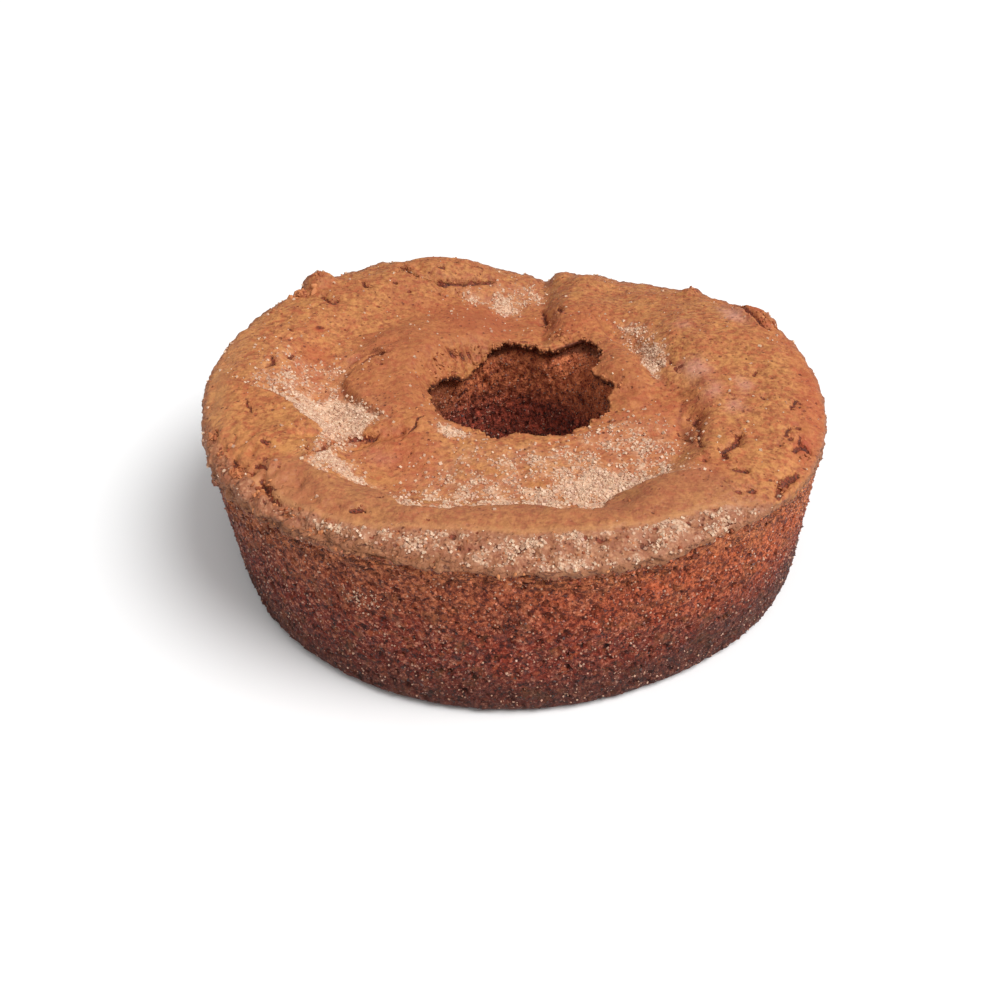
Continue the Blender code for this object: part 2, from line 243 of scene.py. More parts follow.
CRACKS = (    # width, depth, places
    # back rim
    (1.7, 3.6, (119.5, 105), (119, 99), (117, 95), (113, 91.8), (107.5, 90.6), (102, 91.4),
     (99, 93), (95.5, 96)),
    (1.1, 1.6, (122.5, 101), (120, 101), (118.5, 105)), (0.9, 1.2, (126, 93.5), (124.5, 91)),
    (1.2, 1.4, (111, 99.5), (108.5, 98.8)), (1, 1.2, (101, 101.5), (98, 102.5)),
    (1, 1.4, (132.5, 101), (133.5, 95), (132.5, 93)),
    (1.2, 1.8, (144.5, 103), (145.5, 97), (145.5, 95), (143, 95.5)),
    (1, 1.4, (152, 106), (151, 100), (149, 99)), (1, 1.2, (162, 98), (164, 95)),
    (1.1, 1.6, (176, 95.8), (180, 94.2), (182, 96.5)), (1.2, 1.2, (175.5, 89.8), (172.5, 88.8)),
    # left collar, and the long crack at the front left
    (1.3, 2.2, (174, 64.2), (173, 61.5), (170, 60), (167.5, 57.8), (166, 55), (166, 50.8)),
    (0.75, 2, (216.5, 93.5), (217, 91.5), (219.5, 91.5), (221.5, 90), (221.5, 87), (218, 82),
     (215.5, 77), (214, 73)),
    (0.6, 0.6, (226, 55.2), (225, 50.1), (222, 46.2), (219, 42)),
    (0.7, 1.2, (214, 74), (214.5, 69), (216, 66.5), (218.5, 64), (219, 61)),
    # left rim
    (1.1, 2, (203, 117.5), (202.5, 116), (204, 115)),
    (0.8, 1, (195.5, 103), (198, 102), (200.5, 101.5)),
    (1.2, 2.2, (212, 113.5), (215.5, 115), (216, 113)),
    (1, 1.5, (211.5, 103.5), (213, 102), (212.5, 100)),
    (1, 1.6, (217, 109.5), (219, 109), (221, 108.5)),
    (1.2, 2.2, (221, 111.5), (223.5, 113), (226.5, 115), (229.5, 114.5)),
    (1, 1.8, (223.5, 113), (225.5, 112.5), (226.5, 110.5)), (1.2, 2, (236, 116.5), (239, 117.5)),
    # front
    (1.2, 1.2, (241.5, 107), (244, 104.5)), (1, 1.2, (243, 96.5), (244.5, 94.5)),
    # back crease
    (0.9, 1.8, (80, 78), (77.5, 70), (75, 64)), (0.8, 1.3, (73, 70), (69, 62.5)),
    # right
    (0.7, 1.4, (337.5, 75), (334, 77), (331, 79), (323, 85), (318, 90)),
    (0.7, 0.8, (332, 70.2), (328, 76), (325, 81.2)),
    (1.3, 1.9, (323, 91.8), (322.2, 94), (327, 95.5), (331, 94.5)),
    (1.2, 1.6, (322.2, 94), (320.5, 97)), (0.7, 1.4, (326.5, 95.5), (326, 98.5)),
    (1.4, 1.6, (318, 101.5), (319.7, 106.5)),
    (1.5, 2, (318, 120.2), (321, 118.4), (324, 117.8), (327.5, 119.4)),
    (1.2, 1.5, (321, 118.4), (322.5, 115.8)), (1.5, 2, (335.5, 114.5), (335, 117), (334.5, 119)),
    (0.7, 1, (334, 109.6), (337, 109.2), (339.5, 111)),
    (1.1, 1.2, (337, 114), (334, 115.2), (331.5, 113.2)), (0.7, 0.8, (12, 64), (6, 65.5), (0, 67)),
    (1.2, 2.4, (32, 116), (28, 112), (22, 110.5), (16, 112)),
    (1, 2, (25, 113), (22, 115.5), (19, 114.5)), (0.7, 1, (344, 108), (348, 110), (347, 113)),
    (1.1, 1.2, (315, 111.5), (316.5, 114)), (1.1, 1, (313, 109.5), (314, 112)),
)
print(len(FOLDS), "folds and", len(CRACKS), "cracks")

# %% Pits: angle, distance from the middle, size, depth
PITS = (
    (136, 82, 1.1, 1.2), (123, 86, 1.2, 1.6), (167, 97.3, 1.2, 1.2), (157, 88, 2, 1),
    (217, 106, 1.6, 1.7), (219, 112, 1.2, 1.4), (144.5, 103, 1.5, 1.6), (347, 97.9, 1.3, 1.6),
    (358, 95.5, 1, 1.2), (359, 113.6, 1.4, 1.4), (4, 67.8, 1.2, 1.2), (317, 92, 1.3, 1.5),
    (307, 118, 1.6, 2.2), (303.5, 116, 1.2, 1.4), (291.5, 115, 1.8, 2), (285, 110.5, 1.4, 1.6),
    (271.5, 111, 1.7, 2), (274, 112, 1.5, 1.8), (268, 110, 1.1, 1.4), (260.8, 107.5, 1.5, 1.8),
    (262, 111.5, 1.4, 1.8), (252.5, 117, 1.6, 1.8), (76.5, 64, 2.7, 3.6), (27, 80, 1.2, 1.2),
    (105, 104, 1.4, 1.4), (48, 92, 1.1, 1), (262.5, 93, 0.9, 0.8), (331, 91, 1, 1),
    (135, 35.4, 2, 3.6), (127, 34.7, 1.9, 3.5), (121, 35, 1.2, 2.6), (73, 55.8, 2, 3),
    (64, 44.5, 1.3, 2), (337, 76, 1.9, 2.4), (14, 84, 0.9, 1), (357, 95, 0.9, 1),
    (330.5, 93.8, 1.1, 1.3), (339.5, 112.2, 1.4, 1.4), (346.5, 111.2, 1.1, 1.2),
    (335, 111, 1.3, 1.4), (332, 108.2, 1.2, 1.2),
)
STRAY_PITS = 340
STRAY_ON_SHEET = 0.07     # chance that a stray bubble on a smooth sheet is kept


def stray_pits():
    """Small bubbles burst all over the crust, most of them on the rough shoulder."""
    dice = np.random.default_rng(PIT_SEED)
    pits = []
    while len(pits) < STRAY_PITS:
        angle, out = dice.uniform(0, 360), math.sqrt(dice.uniform(40 ** 2, 120 ** 2))
        on_shoulder = out * MILLIMETRE > around(np.array([angle]), SHOULDER_EDGE)[0]
        if on_shoulder or dice.random() < STRAY_ON_SHEET:
            pits.append((angle, out, dice.uniform(0.55, 0.95), dice.uniform(0.5, 1.2)))
    return pits


ALL_PITS = (*PITS, *stray_pits())
print(len(ALL_PITS), "pits")


# %% Distances from lines drawn on the crust
def from_line(places, spots):
    """Distance from spots to a line, + on the right of its way, and how far along it is."""
    corners = [plan(*place) for place in places]
    lengths = [abs(end - start) for start, end in zip(corners, corners[1:])]
    best, side, along = np.full(spots.shape, 1e9), np.ones(spots.shape), np.zeros(spots.shape)
    passed = 0
    for start, end, length in zip(corners, corners[1:], lengths):
        line = (end - start) / length
        way = ((spots - start) * np.conj(line)).real
        gap = spots - start - line * np.clip(way, 0, length)
        closer = np.abs(gap) < best
        best = np.where(closer, np.abs(gap), best)
        side = np.where(closer, -np.sign((np.conj(line) * (spots - start)).imag), side)
        along = np.where(closer, (passed + np.clip(way, 0, length)) / sum(lengths), along)
        passed += length
    return best * side, along


def fold_relief(fold, spots):
    """A step where one sheet of crust lies over another, and 1 at its foot for painted shade."""
    height, fall, *places = fold
    ahead, along = from_line(places, spots)
    ends = stretch(along, 0, 0.12, 0.88, 1)
    sheet = smooth_step(ahead, -0.6, 1.2) * np.exp(-np.maximum(ahead, 0) / fall)
    return height * (sheet - 0.35 * bell(ahead + 1.0, 1.4)) * ends, bell(ahead + 0.5, 0.8) * ends


def crack_relief(crack, spots):
    """A V-shaped cut with slightly curled edges, and 1 in the crack and 0 away from it."""
    width, depth, *places = crack
    ahead, along = from_line(places, spots)
    gap = np.abs(ahead) + 0.8 * (1 - np.sin(np.pi * np.clip(along, 0, 1)) ** 0.3)     # ends close
    return depth * (0.22 * bell(gap, 3 * width) - 1.22 * bell(gap, width)), bell(gap, 1.3 * width)


def pit_relief(rows, spots):
    """How deep the burst bubbles go, and 1 in them and 0 away from them."""
    deep, core = np.zeros(spots.shape), np.zeros(spots.shape)
    for angle, out, size, depth in rows:
        hollow = bell(np.abs(spots - plan(angle, out)), 1.2 * size)
        deep, core = np.maximum(deep, depth * hollow), np.maximum(core, hollow)
    return deep, core


print("a deep crack is cut to", round(CRACKS[0][1], 1), "mm")

# %% [markdown]
# ## One section, turned round the axis
#
# A ring cake is a turned thing, so both big pieces start as one closed section spun round the
# middle, just as a potter's wheel would make them. The section starts as a plain round loop: only
# the order of its points matters, because each point knows its station and is then moved on to the
# real surface. The spin gives clean rows of quads with no seam and no pole.

# %% Turn a ring
TURN_STEPS = 800
ANGLES = np.arange(TURN_STEPS) * 360 / TURN_STEPS


def turned_mesh(name, stations):
    """A ring of as many stations as the section has, spun once round."""
    ring = bmesh.new()
    station = ring.verts.layers.int.new("station")
    loop = bmesh.ops.create_circle(ring, cap_ends=False, segments=stations, radius=0.5)["verts"]
    upright = Matrix.Rotation(math.pi / 2, 3, "X")
    bmesh.ops.rotate(ring, verts=loop, cent=(0, 0, 0), matrix=upright)
    turns = [math.atan2(corner.co.z, -corner.co.x) / math.tau for corner in loop]
    for corner, turn in zip(loop, turns):
        corner[station] = round((turn - turns[0]) * stations) % stations
    bmesh.ops.translate(ring, verts=loop, vec=(2, 0, 0))
    bmesh.ops.spin(ring, geom=list(ring.verts) + list(ring.edges), axis=(0, 0, 1), cent=(0, 0, 0),
                   angle=math.tau, steps=TURN_STEPS, use_merge=True, use_duplicate=False)
    bmesh.ops.recalc_face_normals(ring, faces=ring.faces)
    mesh = bpy.data.meshes.new(name)
    ring.to_mesh(mesh)
    ring.free()
    return mesh


print("a turn has", TURN_STEPS, "steps of", 360 / TURN_STEPS, "degrees")


# %% Read, move and measure a mesh
def read(collection, field, width=1):
    """One field of all a mesh's points or faces, as an array."""
    values = np.zeros(len(collection) * width)
    collection.foreach_get(field, values)
    return values.reshape(-1, width) if width > 1 else values


def spots_of(mesh):
    """Places of a mesh's points."""
    return read(mesh.vertices, "co", 3)


def move_to(mesh, places):
    """Moves a mesh's points."""
    mesh.vertices.foreach_set("co", places.ravel())
    mesh.update()


def compass(spots):
    """Compass angles and radii of places."""
    angle = np.degrees(np.arctan2(spots[:, 1], spots[:, 0])) % 360
    return angle, np.hypot(spots[:, 0], spots[:, 1])


def place_ring(mesh, radii, heights):
    """Moves every point of a turned mesh to the radius and height of its station."""
    angle, _ = compass(spots_of(mesh))
    step = np.round(angle / 360 * TURN_STEPS).astype(int) % TURN_STEPS
    station = read(mesh.attributes["station"].data, "value").astype(int)
    place = plan(ANGLES[step], radii[step, station])
    move_to(mesh, np.stack((place.real, place.imag, heights[step, station]), axis=1))
    return step, station


def normals_of(mesh):
    """Direction of the surface at each point."""
    return read(mesh.vertex_normals, "vector", 3)


def size_up(what, mesh):
    """Says how large a closed mesh is. Its litres are negative if its faces point inwards."""
    mesh.calc_loop_triangles()
    corners = spots_of(mesh)[read(mesh.loop_triangles, "vertices", 3).astype(int)]
    turned = np.cross(corners[:, 1], corners[:, 2])
    litres = np.einsum("ij,ij->i", corners[:, 0], turned).sum() / 6 * 1000
    print(what, len(mesh.polygons), "faces,", round(litres, 3), "litres")


def keep_fields(mesh, **fields):
    """Keeps numbers for each point, which a material can read by their names."""
    for name, values in fields.items():
        layer = mesh.attributes.new(name, "FLOAT", "POINT")
        layer.data.foreach_set("value", values.astype(np.float32))


# %% [markdown]
# ## The hole's edge and the lip
#
# The tube pulled the crust apart when it came out, so the edge of the hole is torn: it wanders, has
# notches, and hangs into the hole at the back left. Outside, the crust ends in a rolled lip just
# over the side. Both edges get a slow wave, as in the solid, and a faster, smaller one.

# %% Edges at every step of the turn
HOLE_OUT, RIM_OUT = 40, 120     # millimetres from the middle to the two edges


def edge_wave(out, size, length, level):
    """Unevenness along a round edge, in millimetres. Each wave has its own level in the noise."""
    ring = plan(ANGLES, out * MILLIMETRE)
    places = np.stack((ring.real, ring.imag, np.full_like(ANGLES, level)), axis=1)
    return wave(places, size * MILLIMETRE, length * MILLIMETRE)


smooth_edge = around(ANGLES, TORN_EDGE)
notches = np.abs(edge_wave(HOLE_OUT, 1.8, 6, 2.3))
ragged_edge = edge_wave(HOLE_OUT, 1.4, 8, 0.3) + edge_wave(HOLE_OUT, 1.0, 4, 1.3)
ragged_edge = ragged_edge + 1.2 * notches - 0.0004
ragged_edge *= 1 + 0.9 * stretch(ANGLES, 30, 60, 100, 118)        # most torn at the back
ragged_edge *= 1 - 0.55 * stretch(ANGLES, 112, 125, 165, 180)     # calmer where it hangs in
hole_radius = smooth_edge + ragged_edge
smooth_height = around(ANGLES, HOLE_RIM_HEIGHT) + around(ANGLES, TORN_RISE)
ragged_height = edge_wave(HOLE_OUT, 1.4, 7, 3.3)
hole_height = smooth_height + ragged_height
lip_height = around(ANGLES, LIP_HEIGHT) + edge_wave(RIM_OUT, 1.2, 20, 0.6)
lip_height = lip_height + edge_wave(RIM_OUT, 0.6, 4.5, 2.6)
rim_radius = around(ANGLES, RIM_RADIUS)
seen = np.array((hole_radius.min(), hole_radius.max())) / MILLIMETRE
print("the hole's edge is", np.round(seen, 1), "mm out")

# %% [markdown]
# ## The crust
#
# The crust is its own closed shell, a few millimetres thick, laid over the crumb like the real one.
# Its top has about one point for each millimetre, so folds, cracks and pits are cut into the
# mesh itself, and light catches them from every side. The underside is hidden in the crumb.

# %% Section of the crust
EDGE_OFFSETS = ((12, -12), (7, -4.2), (3, -3), (0.6, -2.2), (-0.3, -1.1))     # up to the edge
LIP_OFFSETS = ((-3.2, 0.3), (-9, -6))     # back under the lip
EDGE_STATIONS = len(EDGE_OFFSETS)
TOP_STATIONS = 92
LIP_STATIONS = 15
LAST_TOP = EDGE_STATIONS + TOP_STATIONS - 1
CRUST_STATIONS = LAST_TOP + 1 + LIP_STATIONS + len(LIP_OFFSETS)
TORN_WIDTH = 0.0018       # how far in from the edge the crust is ragged


def beside(radius, height, *offsets):
    """Stations some millimetres outwards and up from an edge."""
    return [(radius + out * MILLIMETRE, height + up * MILLIMETRE) for out, up in offsets]


def as_section(stations):
    """Radii and heights, one row for each step of the turn and one column for each station."""
    return tuple(np.stack([np.broadcast_to(values, ANGLES.shape) for values in part], axis=1)
                 for part in zip(*stations))


def crust_stations():
    """The crust at every angle: up round the hole's edge, outwards, and down the lip."""
    stations = beside(hole_radius, hole_height, *EDGE_OFFSETS)
    for part in np.linspace(0, 1, TOP_STATIONS) ** 1.25:     # closer together by the hole
        from_edge = (rim_radius - LIP_ROLL - smooth_edge) * part
        torn = np.exp(-from_edge / TORN_WIDTH)
        radius = smooth_edge + from_edge + ragged_edge * torn
        height = form_height(ANGLES, radius)
        into_hole = np.clip(1 - from_edge / HOLE_ROLL, 0, 1)
        height = height - (height - smooth_height) * into_hole ** 2 + ragged_height * torn
        stations.append((radius, height))
    for part in np.linspace(0, 1, LIP_STATIONS + 1)[1:]:
        down = (height - lip_height) * part
        roll = np.clip(down / LIP_ROLL, 0, 1)
        bulge = LIP_ROLL * np.sqrt(1 - (1 - roll) ** 2) - 0.0012 * smooth_step(part, 0.6, 1.0)
        stations.append((rim_radius - LIP_ROLL + bulge, height - down))
    return stations + beside(rim_radius, lip_height, *LIP_OFFSETS)


crust_mesh = turned_mesh("cake_crust", CRUST_STATIONS)
_, crust_station = place_ring(crust_mesh, *as_section(crust_stations()))
size_up("crust:", crust_mesh)

# %% Slow unevenness, the same as in the solid
CRUST_WAVE = (0.0008, 0.0140)
WALL_WAVE = (0.0005, 0.0110)
TORN_WAVE = (0.0022, 0.0090)
TORN_CRUST = ((222, 111, 20, 11, 1.0, 4),)     # the rough rim at the front left
FLAT_BASE = (BASE_CORNER - 0.0005, BASE_CORNER + 0.0005)     # the base below these stays flat


def slow_unevenness(mesh):
    """Moves a mesh's points along its normals, as in the solid."""
    spots, normals = spots_of(mesh), normals_of(mesh)
    upward = np.maximum(0, normals[:, 2])
    torn = mounds(TORN_CRUST, *compass(spots)) * upward
    crust = wave(spots, *CRUST_WAVE) * (1 - torn) + wave(spots, *TORN_WAVE) * torn
    amount = crust * upward + wave(spots, *WALL_WAVE) * (1 - upward)
    amount = amount * smooth_step(spots[:, 2], *FLAT_BASE)
    move_to(mesh, spots + normals * amount[:, None])
    print(mesh.name, "moved by up to", round(np.abs(amount).max() * 1000, 2), "mm")


slow_unevenness(crust_mesh)

# %% [markdown]
# ## Where the sugar lies
#
# Sugar was strewn over the cake, and it gathered in the hollows: the drift on the left, the trough
# in front of the hole, the crease at the back, and the rough shoulder. The smooth sheets of crust
# shed it. One field from 0 to 1 says how much sugar lies at each point. The colour reads it, and
# so do the loose grains later, so both agree.

# %% Patches: angle, distance from the middle, half turn, half width, strength, edge
SUGAR = (
    (205, 71, 12, 14, 1.32, 3),  # the drift on the left
    (196, 80, 5, 7, 0.4, 2),     # its tail towards the rim
    (180, 79, 14, 18, 0.25, 2),  # specks behind it
    (188, 89, 9, 11, 0.15, 2),   # a thin haze nearer the rim
    (218, 65, 5, 7.2, -1.2, 2),  # none past the crack
    (168, 82, 5, 6, -0.3, 2),
    (224, 89, 5, 8, 0.66, 3),    # front left
    (231, 87, 7, 4.5, 0.55, 2),
    (280, 80, 32, 9, 0.34, 4),   # the trough, by the terrace
    (284, 62, 42, 16, 0.27, 4),  # the trough, nearer the hole
    (292, 76, 8, 7.5, 0.8, 2),
    (240, 42, 9, 2.6, 1.2, 2),   # by the hole's notch
    (92, 80, 4.5, 10, 0.75, 2),  # the crease at the back
    (84, 91, 4, 7, 0.5, 2),
    (103, 80, 3, 4, 0.6, 2),
    (37, 67, 7, 3.5, 0.55, 2),   # the streak behind the right collar
    (21, 61.5, 10, 3.5, 0.85, 2),
    (9, 58.5, 7, 3, 0.8, 2),
    (322, 66, 13, 14, 0.15, 2),  # right of the trough
)
# where the crust is redder, where a painted sheen lies, the collars round the hole, and a painted
# highlight on the rim at the left
REDDER = ((325, 62, 28, 18, 1, 3), (60, 56, 18, 17, 0.9, 3), (224, 115, 14, 12, 1, 3),
          (235, 64, 14, 12, 1, 3), (350, 117, 22, 7, 1.2, 3), (180, 78, 14, 16, 0.5, 2),
          (105, 60, 24, 18, 1, 3), (300, 96, 26, 7, 0.6, 3), (158, 88, 2, 2.2, 2.5, 2),
          (335, 116.5, 2, 2.5, 2, 2), (168, 82, 5, 6, 1, 2), (26, 113, 9, 5, 1.3, 2))
SHEEN = ((25, 104.5, 4, 4, 1.2, 2), (26, 80, 3, 4, 0.6, 2), (0, 72.5, 5, 5, 1.1, 2),
         (348, 79, 4, 3, 0.9, 2), (352, 89.8, 3, 3, 0.9, 2), (342, 88.8, 3, 3.5, 0.8, 2),
         (228, 70, 5, 5, 0.35, 2))
COLLARS = ((186, 48, 44, 19, 1, 4), (128, 50, 30, 16, 0.8, 3), (10, 43, 34, 12, 1, 4),
           (100, 54, 20, 15, 1, 3))
PAINTED_RIM_LIGHT = ((187, 116.5, 24, 8, 0.8, 3), (224, 115, 10, 9, 0.6, 3))
print(len(SUGAR), "patches of sugar")

# %% Lines bent by noise, so that no edge is neat
spots, normals = spots_of(crust_mesh), normals_of(crust_mesh)
angle, radius = compass(spots)
torn_line = wave(spots, 0.7, 0.0036) + 1j * wave(spots + 1, 0.7, 0.0036)
drawn = plan(angle, radius / MILLIMETRE) + torn_line     # where each point is for lines, in mm
blown = wave(spots + 31, 1.0, 0.0075) + 1j * wave(spots + 33, 1.0, 0.0075)
blown = drawn + 2.4 * blown                              # and for soft patches
blown = np.degrees(np.angle(blown)) % 360, np.abs(blown) * MILLIMETRE
patchy = wave(spots + 3, 0.9, 0.0060, 4)
print("lines are bent by up to", round(np.abs(torn_line).max(), 1), "mm")

# %% Fields on the crust
front = stretch(angle, 217, 223, 311, 319)
from_shoulder = (radius - around(angle, SHOULDER_EDGE)) / MILLIMETRE
shoulder = smooth_step(from_shoulder + torn_line.real, -0.7, 0.9)
onto_terrace, _ = from_line(TERRACE[2:], drawn)
terrace = smooth_step(onto_terrace, -0.4, 0.8) * front * (1 - shoulder)
lip = crust_station + 5 * stretch(angle, 230, 240, 262, 272)     # the lip starts higher there
lip = smooth_step(lip, LAST_TOP + 1, LAST_TOP + 6)
under = smooth_step(crust_station, LAST_TOP + 6, LAST_TOP + LIP_STATIONS)
# painted highlight along the shoulder's crest at the front, and painted light on the rim at the
# left
brow = bell(from_shoulder + 1.2, 1.1) * front + mounds(PAINTED_RIM_LIGHT, angle, radius)

foot_line = bell(onto_terrace, 5.0) * (onto_terrace < 0) * smooth_step(angle, 238, 250) * front
past_ridge, ridge_along = from_line(RIDGE[2:], drawn)
under_ridge = smooth_step(past_ridge, -0.4, 0.6) * (ridge_along > 0.03) * (ridge_along < 0.99)
ridge_line = bell(past_ridge + 1.0, 1.3) * smooth_step(ridge_along, 0.25, 0.5)
onto_collar, _ = from_line(LEFT_COLLAR[2:], drawn)
on_collar = smooth_step(onto_collar, -0.8, 0.8) * (np.abs(onto_collar) < 14)
on_collar = on_collar * (angle < 214) * (angle > 160)

sugar = mounds(SUGAR, *blown) + 0.45 * foot_line + 0.5 * ridge_line
sugar = sugar * (1 - terrace) * (1 - under_ridge) * (1 - 0.85 * on_collar)
facing = 0.05 + 0.20 * stretch(angle, 225, 245, 305, 318)
sugar = (sugar + facing * shoulder * (1 + patchy)) * (1 + 1.2 * patchy) * (1 - lip)
sugar = np.clip(sugar, 0, 1)
collar = np.clip(mounds(COLLARS, angle, radius), 0, 1.3)
sheen = np.clip(mounds(SHEEN, *blown), 0, 1.2)
redder = mounds(REDDER, angle, radius)
golden = 0.85 + wave(spots + 5, 0.55, 0.0200) - 0.9 * sugar - 0.7 * collar - 0.5 * shoulder
golden = np.clip(golden, 0, 1)
print("sugar lies on", round(sugar.mean() * 100), "% of the crust's points")

# %% [markdown]
# ## Cutting folds, cracks and pits
#
# The detail goes straight down where the crust faces up, and fades out on the lip. A little
# noise bends each line before the distances are taken, which turns a neat polyline into a torn
# edge. A smooth bell over each crack and pit is kept as well: the material cuts it off at a level
# that noise moves about, which draws a crack more finely than the mesh could.

# %% Cut the crust's detail
steps, fold_shades = zip(*(fold_relief(fold, drawn) for fold in FOLDS))
cuts, cores = zip(*(crack_relief(crack, drawn) for crack in CRACKS))
deep, hollow = pit_relief(ALL_PITS, drawn)
hollow, cracked = hollow * (1 - lip), np.max(cores, axis=0) * (1 - lip)
sugar = sugar * (1 - 0.8 * smooth_step(cracked, 0.3, 0.8))
on_top = (crust_station >= EDGE_STATIONS) & (crust_station <= LAST_TOP)
off_edge = smooth_step(crust_station - EDGE_STATIONS, 0, 3)
cut = (sum(steps) + np.sum(cuts, axis=0) - deep) * on_top * off_edge * MILLIMETRE

rough = 0.62 + 1.1 * shoulder + 0.45 * sugar - 0.25 * terrace + 0.9 * lip
rough = rough * (crust_station >= 2) * (1 + 1.3 * mounds(TORN_CRUST, angle, radius))
grain = (wave(spots, 0.00045, 0.0046) + wave(spots + 7, 0.00026, 0.0021, 1)) * rough
flaky = 0.0011 * lip * wave(spots * np.array((0.16, 0.16, 1.0)), 1.0, 0.0016, 2)
spots = spots + normals * (grain + np.minimum(flaky, 0))[:, None]
spots[:, 2] += cut
move_to(crust_mesh, spots)
keep_fields(crust_mesh, sugar=sugar, golden=golden, cracked=cracked, hollow=hollow, lip=lip,
            terrace=terrace, shoulder=shoulder, brow=brow, collar=collar, sheen=sheen,
            foot=np.max(fold_shades[1:], axis=0), under=under, redder=redder,
            edge=1 - smooth_step(crust_station, 3, 6))
print("cut", round(cut.min() * 1000, 2), "mm, highest fold", round(cut.max() * 1000, 2), "mm")

# %% [markdown]
# ## The crumb
#
# Under the crust is the crumb: the wall that stood against the tin, the wall of the hole, and the
# flat base. It is one closed ring too. Its upper side hides in the crust. The walls get pores and
# clumps of crumb, and thin cracks where the crust lifted off just under the lip.

# %% Section of the crumb
LIFTED_GAP = 0.0022       # the crust stands off the crumb at the back of the hole
UNDER_CRUST = 0.0045      # how far under the crust's edge the hole's wall ends
HOLE_STATIONS = 42
WALL_STATIONS = 60
WALL_START = HOLE_STATIONS + 4
CORNER_STATIONS = 4
BASE_STATIONS = 9
CLOSED_LIP = (286, 300, 338, 352)     # degrees between which the crust sits tight on the wall


def crumb_stations():
    """The crumb: up the hole, out under the crust, down the wall and back along the base."""
    stations = []
    torn_back = np.maximum(0, smooth_edge - HOLE_RADIUS)
    lifted = stretch(ANGLES, 35, 50, 160, 185)
    for part in np.linspace(0, 1, HOLE_STATIONS):
        radius = BASE_HOLE_RADIUS + (HOLE_RADIUS - BASE_HOLE_RADIUS) * part + torn_back * part ** 4
        radius = radius + LIFTED_GAP * lifted * smooth_step(part, 0.90, 1.0)
        stations.append((radius, (smooth_height - UNDER_CRUST) * part))
    crust_back = np.maximum(hole_radius, HOLE_RADIUS)
    wall_radius = rim_radius - LIP_UNDERCUT * (1 - 0.55 * stretch(ANGLES, *CLOSED_LIP))
    stations += beside(crust_back + 0.0030 * lifted, hole_height, (0.8, -2.2))
    stations += beside(crust_back, hole_height, (9, -14))
    stations += beside(rim_radius, lip_height, (-14, -10))
    stations += beside(wall_radius, lip_height, (-2, 1.6))
    base_radius = around(ANGLES, BASE_RADIUS)
    for part in np.linspace(0, 1, WALL_STATIONS):
        height = (lip_height + 0.0004) * (1 - part) + BASE_CORNER * part
        stations.append((wall_radius + (base_radius - wall_radius) * part, height))
    for turn in np.linspace(0, math.pi / 2, CORNER_STATIONS + 1)[1:]:
        radius = base_radius - BASE_CORNER * (1 - math.cos(turn))
        stations.append((radius, BASE_CORNER * (1 - math.sin(turn))))
    for part in np.linspace(0, 1, BASE_STATIONS + 1)[1:-1]:
        stations.append((radius + (BASE_HOLE_RADIUS - radius) * part, 0.0))
    return stations


crumb_section = as_section(crumb_stations())
crumb_mesh = turned_mesh("cake_crumb", crumb_section[0].shape[1])
crumb_step, crumb_station = place_ring(crumb_mesh, *crumb_section)
slow_unevenness(crumb_mesh)
size_up("crumb:", crumb_mesh)

# %% Pores, clumps and cracks of the crumb
spots, normals = spots_of(crumb_mesh), normals_of(crumb_mesh)
angle, _ = compass(spots)
on_wall = (crumb_station >= WALL_START) & (crumb_station < WALL_START + WALL_STATIONS)
in_hole = crumb_station < HOLE_STATIONS
below_lip = (lip_height[crumb_step] - spots[:, 2]) / MILLIMETRE

clumps = wave(spots, 0.00050, 0.0034) * (1 + in_hole)
clumps = clumps + wave(spots + 9, 0.00048, 0.0016, 2) * (1 - 0.8 * in_hole)
pores = smooth_step(wave(spots + 11, 1.0, 0.0026, 2), 0.30, 0.70) * 0.0013
layered = wave(spots * np.array((0.24, 0.24, 1.0)) + 13, 1.0, 0.0014, 2)
under_lip = stretch(below_lip, -1, 0.8, 2.5, 8.0) * on_wall
gaps = smooth_step(layered, 0.10, 0.42) * under_lip * (1 - 0.6 * stretch(angle, *CLOSED_LIP))
standing = smooth_step(spots[:, 2], 0.0002, 0.0030)
amount = (clumps - pores) * standing - 0.0009 * gaps
# painted shade: the top of the hole's wall, under the crust's overhang at the back
overhung = smooth_step(crumb_station, HOLE_STATIONS - 3, HOLE_STATIONS - 1) * in_hole
overhung = overhung * stretch(angle, 20, 40, 182, 205)
move_to(crumb_mesh, spots + normals * amount[:, None])
keep_fields(crumb_mesh, gaps=gaps, under_lip=under_lip, in_hole=in_hole, overhung=overhung,
            pores=smooth_step(pores, 0.0001, 0.0009))
print("crumb relief", round(amount.min() * 1000, 2), "to", round(amount.max() * 1000, 2), "mm")

# %% [markdown]
# ## Grains, from one small shape
#
# Sugar, crumbs and flakes are far too many to model one by one. Each kind is one mesh: a small
# shape is repeated by array arithmetic, with its own place, turn and size. The places come from
# the surfaces that carry them, so every grain sits partly sunk in the cake.


# %% Scatter small shapes on a mesh
def small_shape(kind):
    """Corners and faces of one closed shape, one across."""
    shape = bmesh.new()
    if kind == "cube":
        bmesh.ops.create_cube(shape, size=1.0)
    elif kind == "bipyramid":
        bmesh.ops.create_uvsphere(shape, u_segments=4, v_segments=2, radius=0.5)
    else:
        rounds = {"ball": 1, "lump": 2}[kind]
        bmesh.ops.create_icosphere(shape, subdivisions=rounds, radius=0.5)
    bmesh.ops.triangulate(shape, faces=shape.faces)
    corners = np.array([corner.co for corner in shape.verts])
    faces = np.array([[corner.index for corner in face.verts] for face in shape.faces])
    shape.free()
    return corners, faces


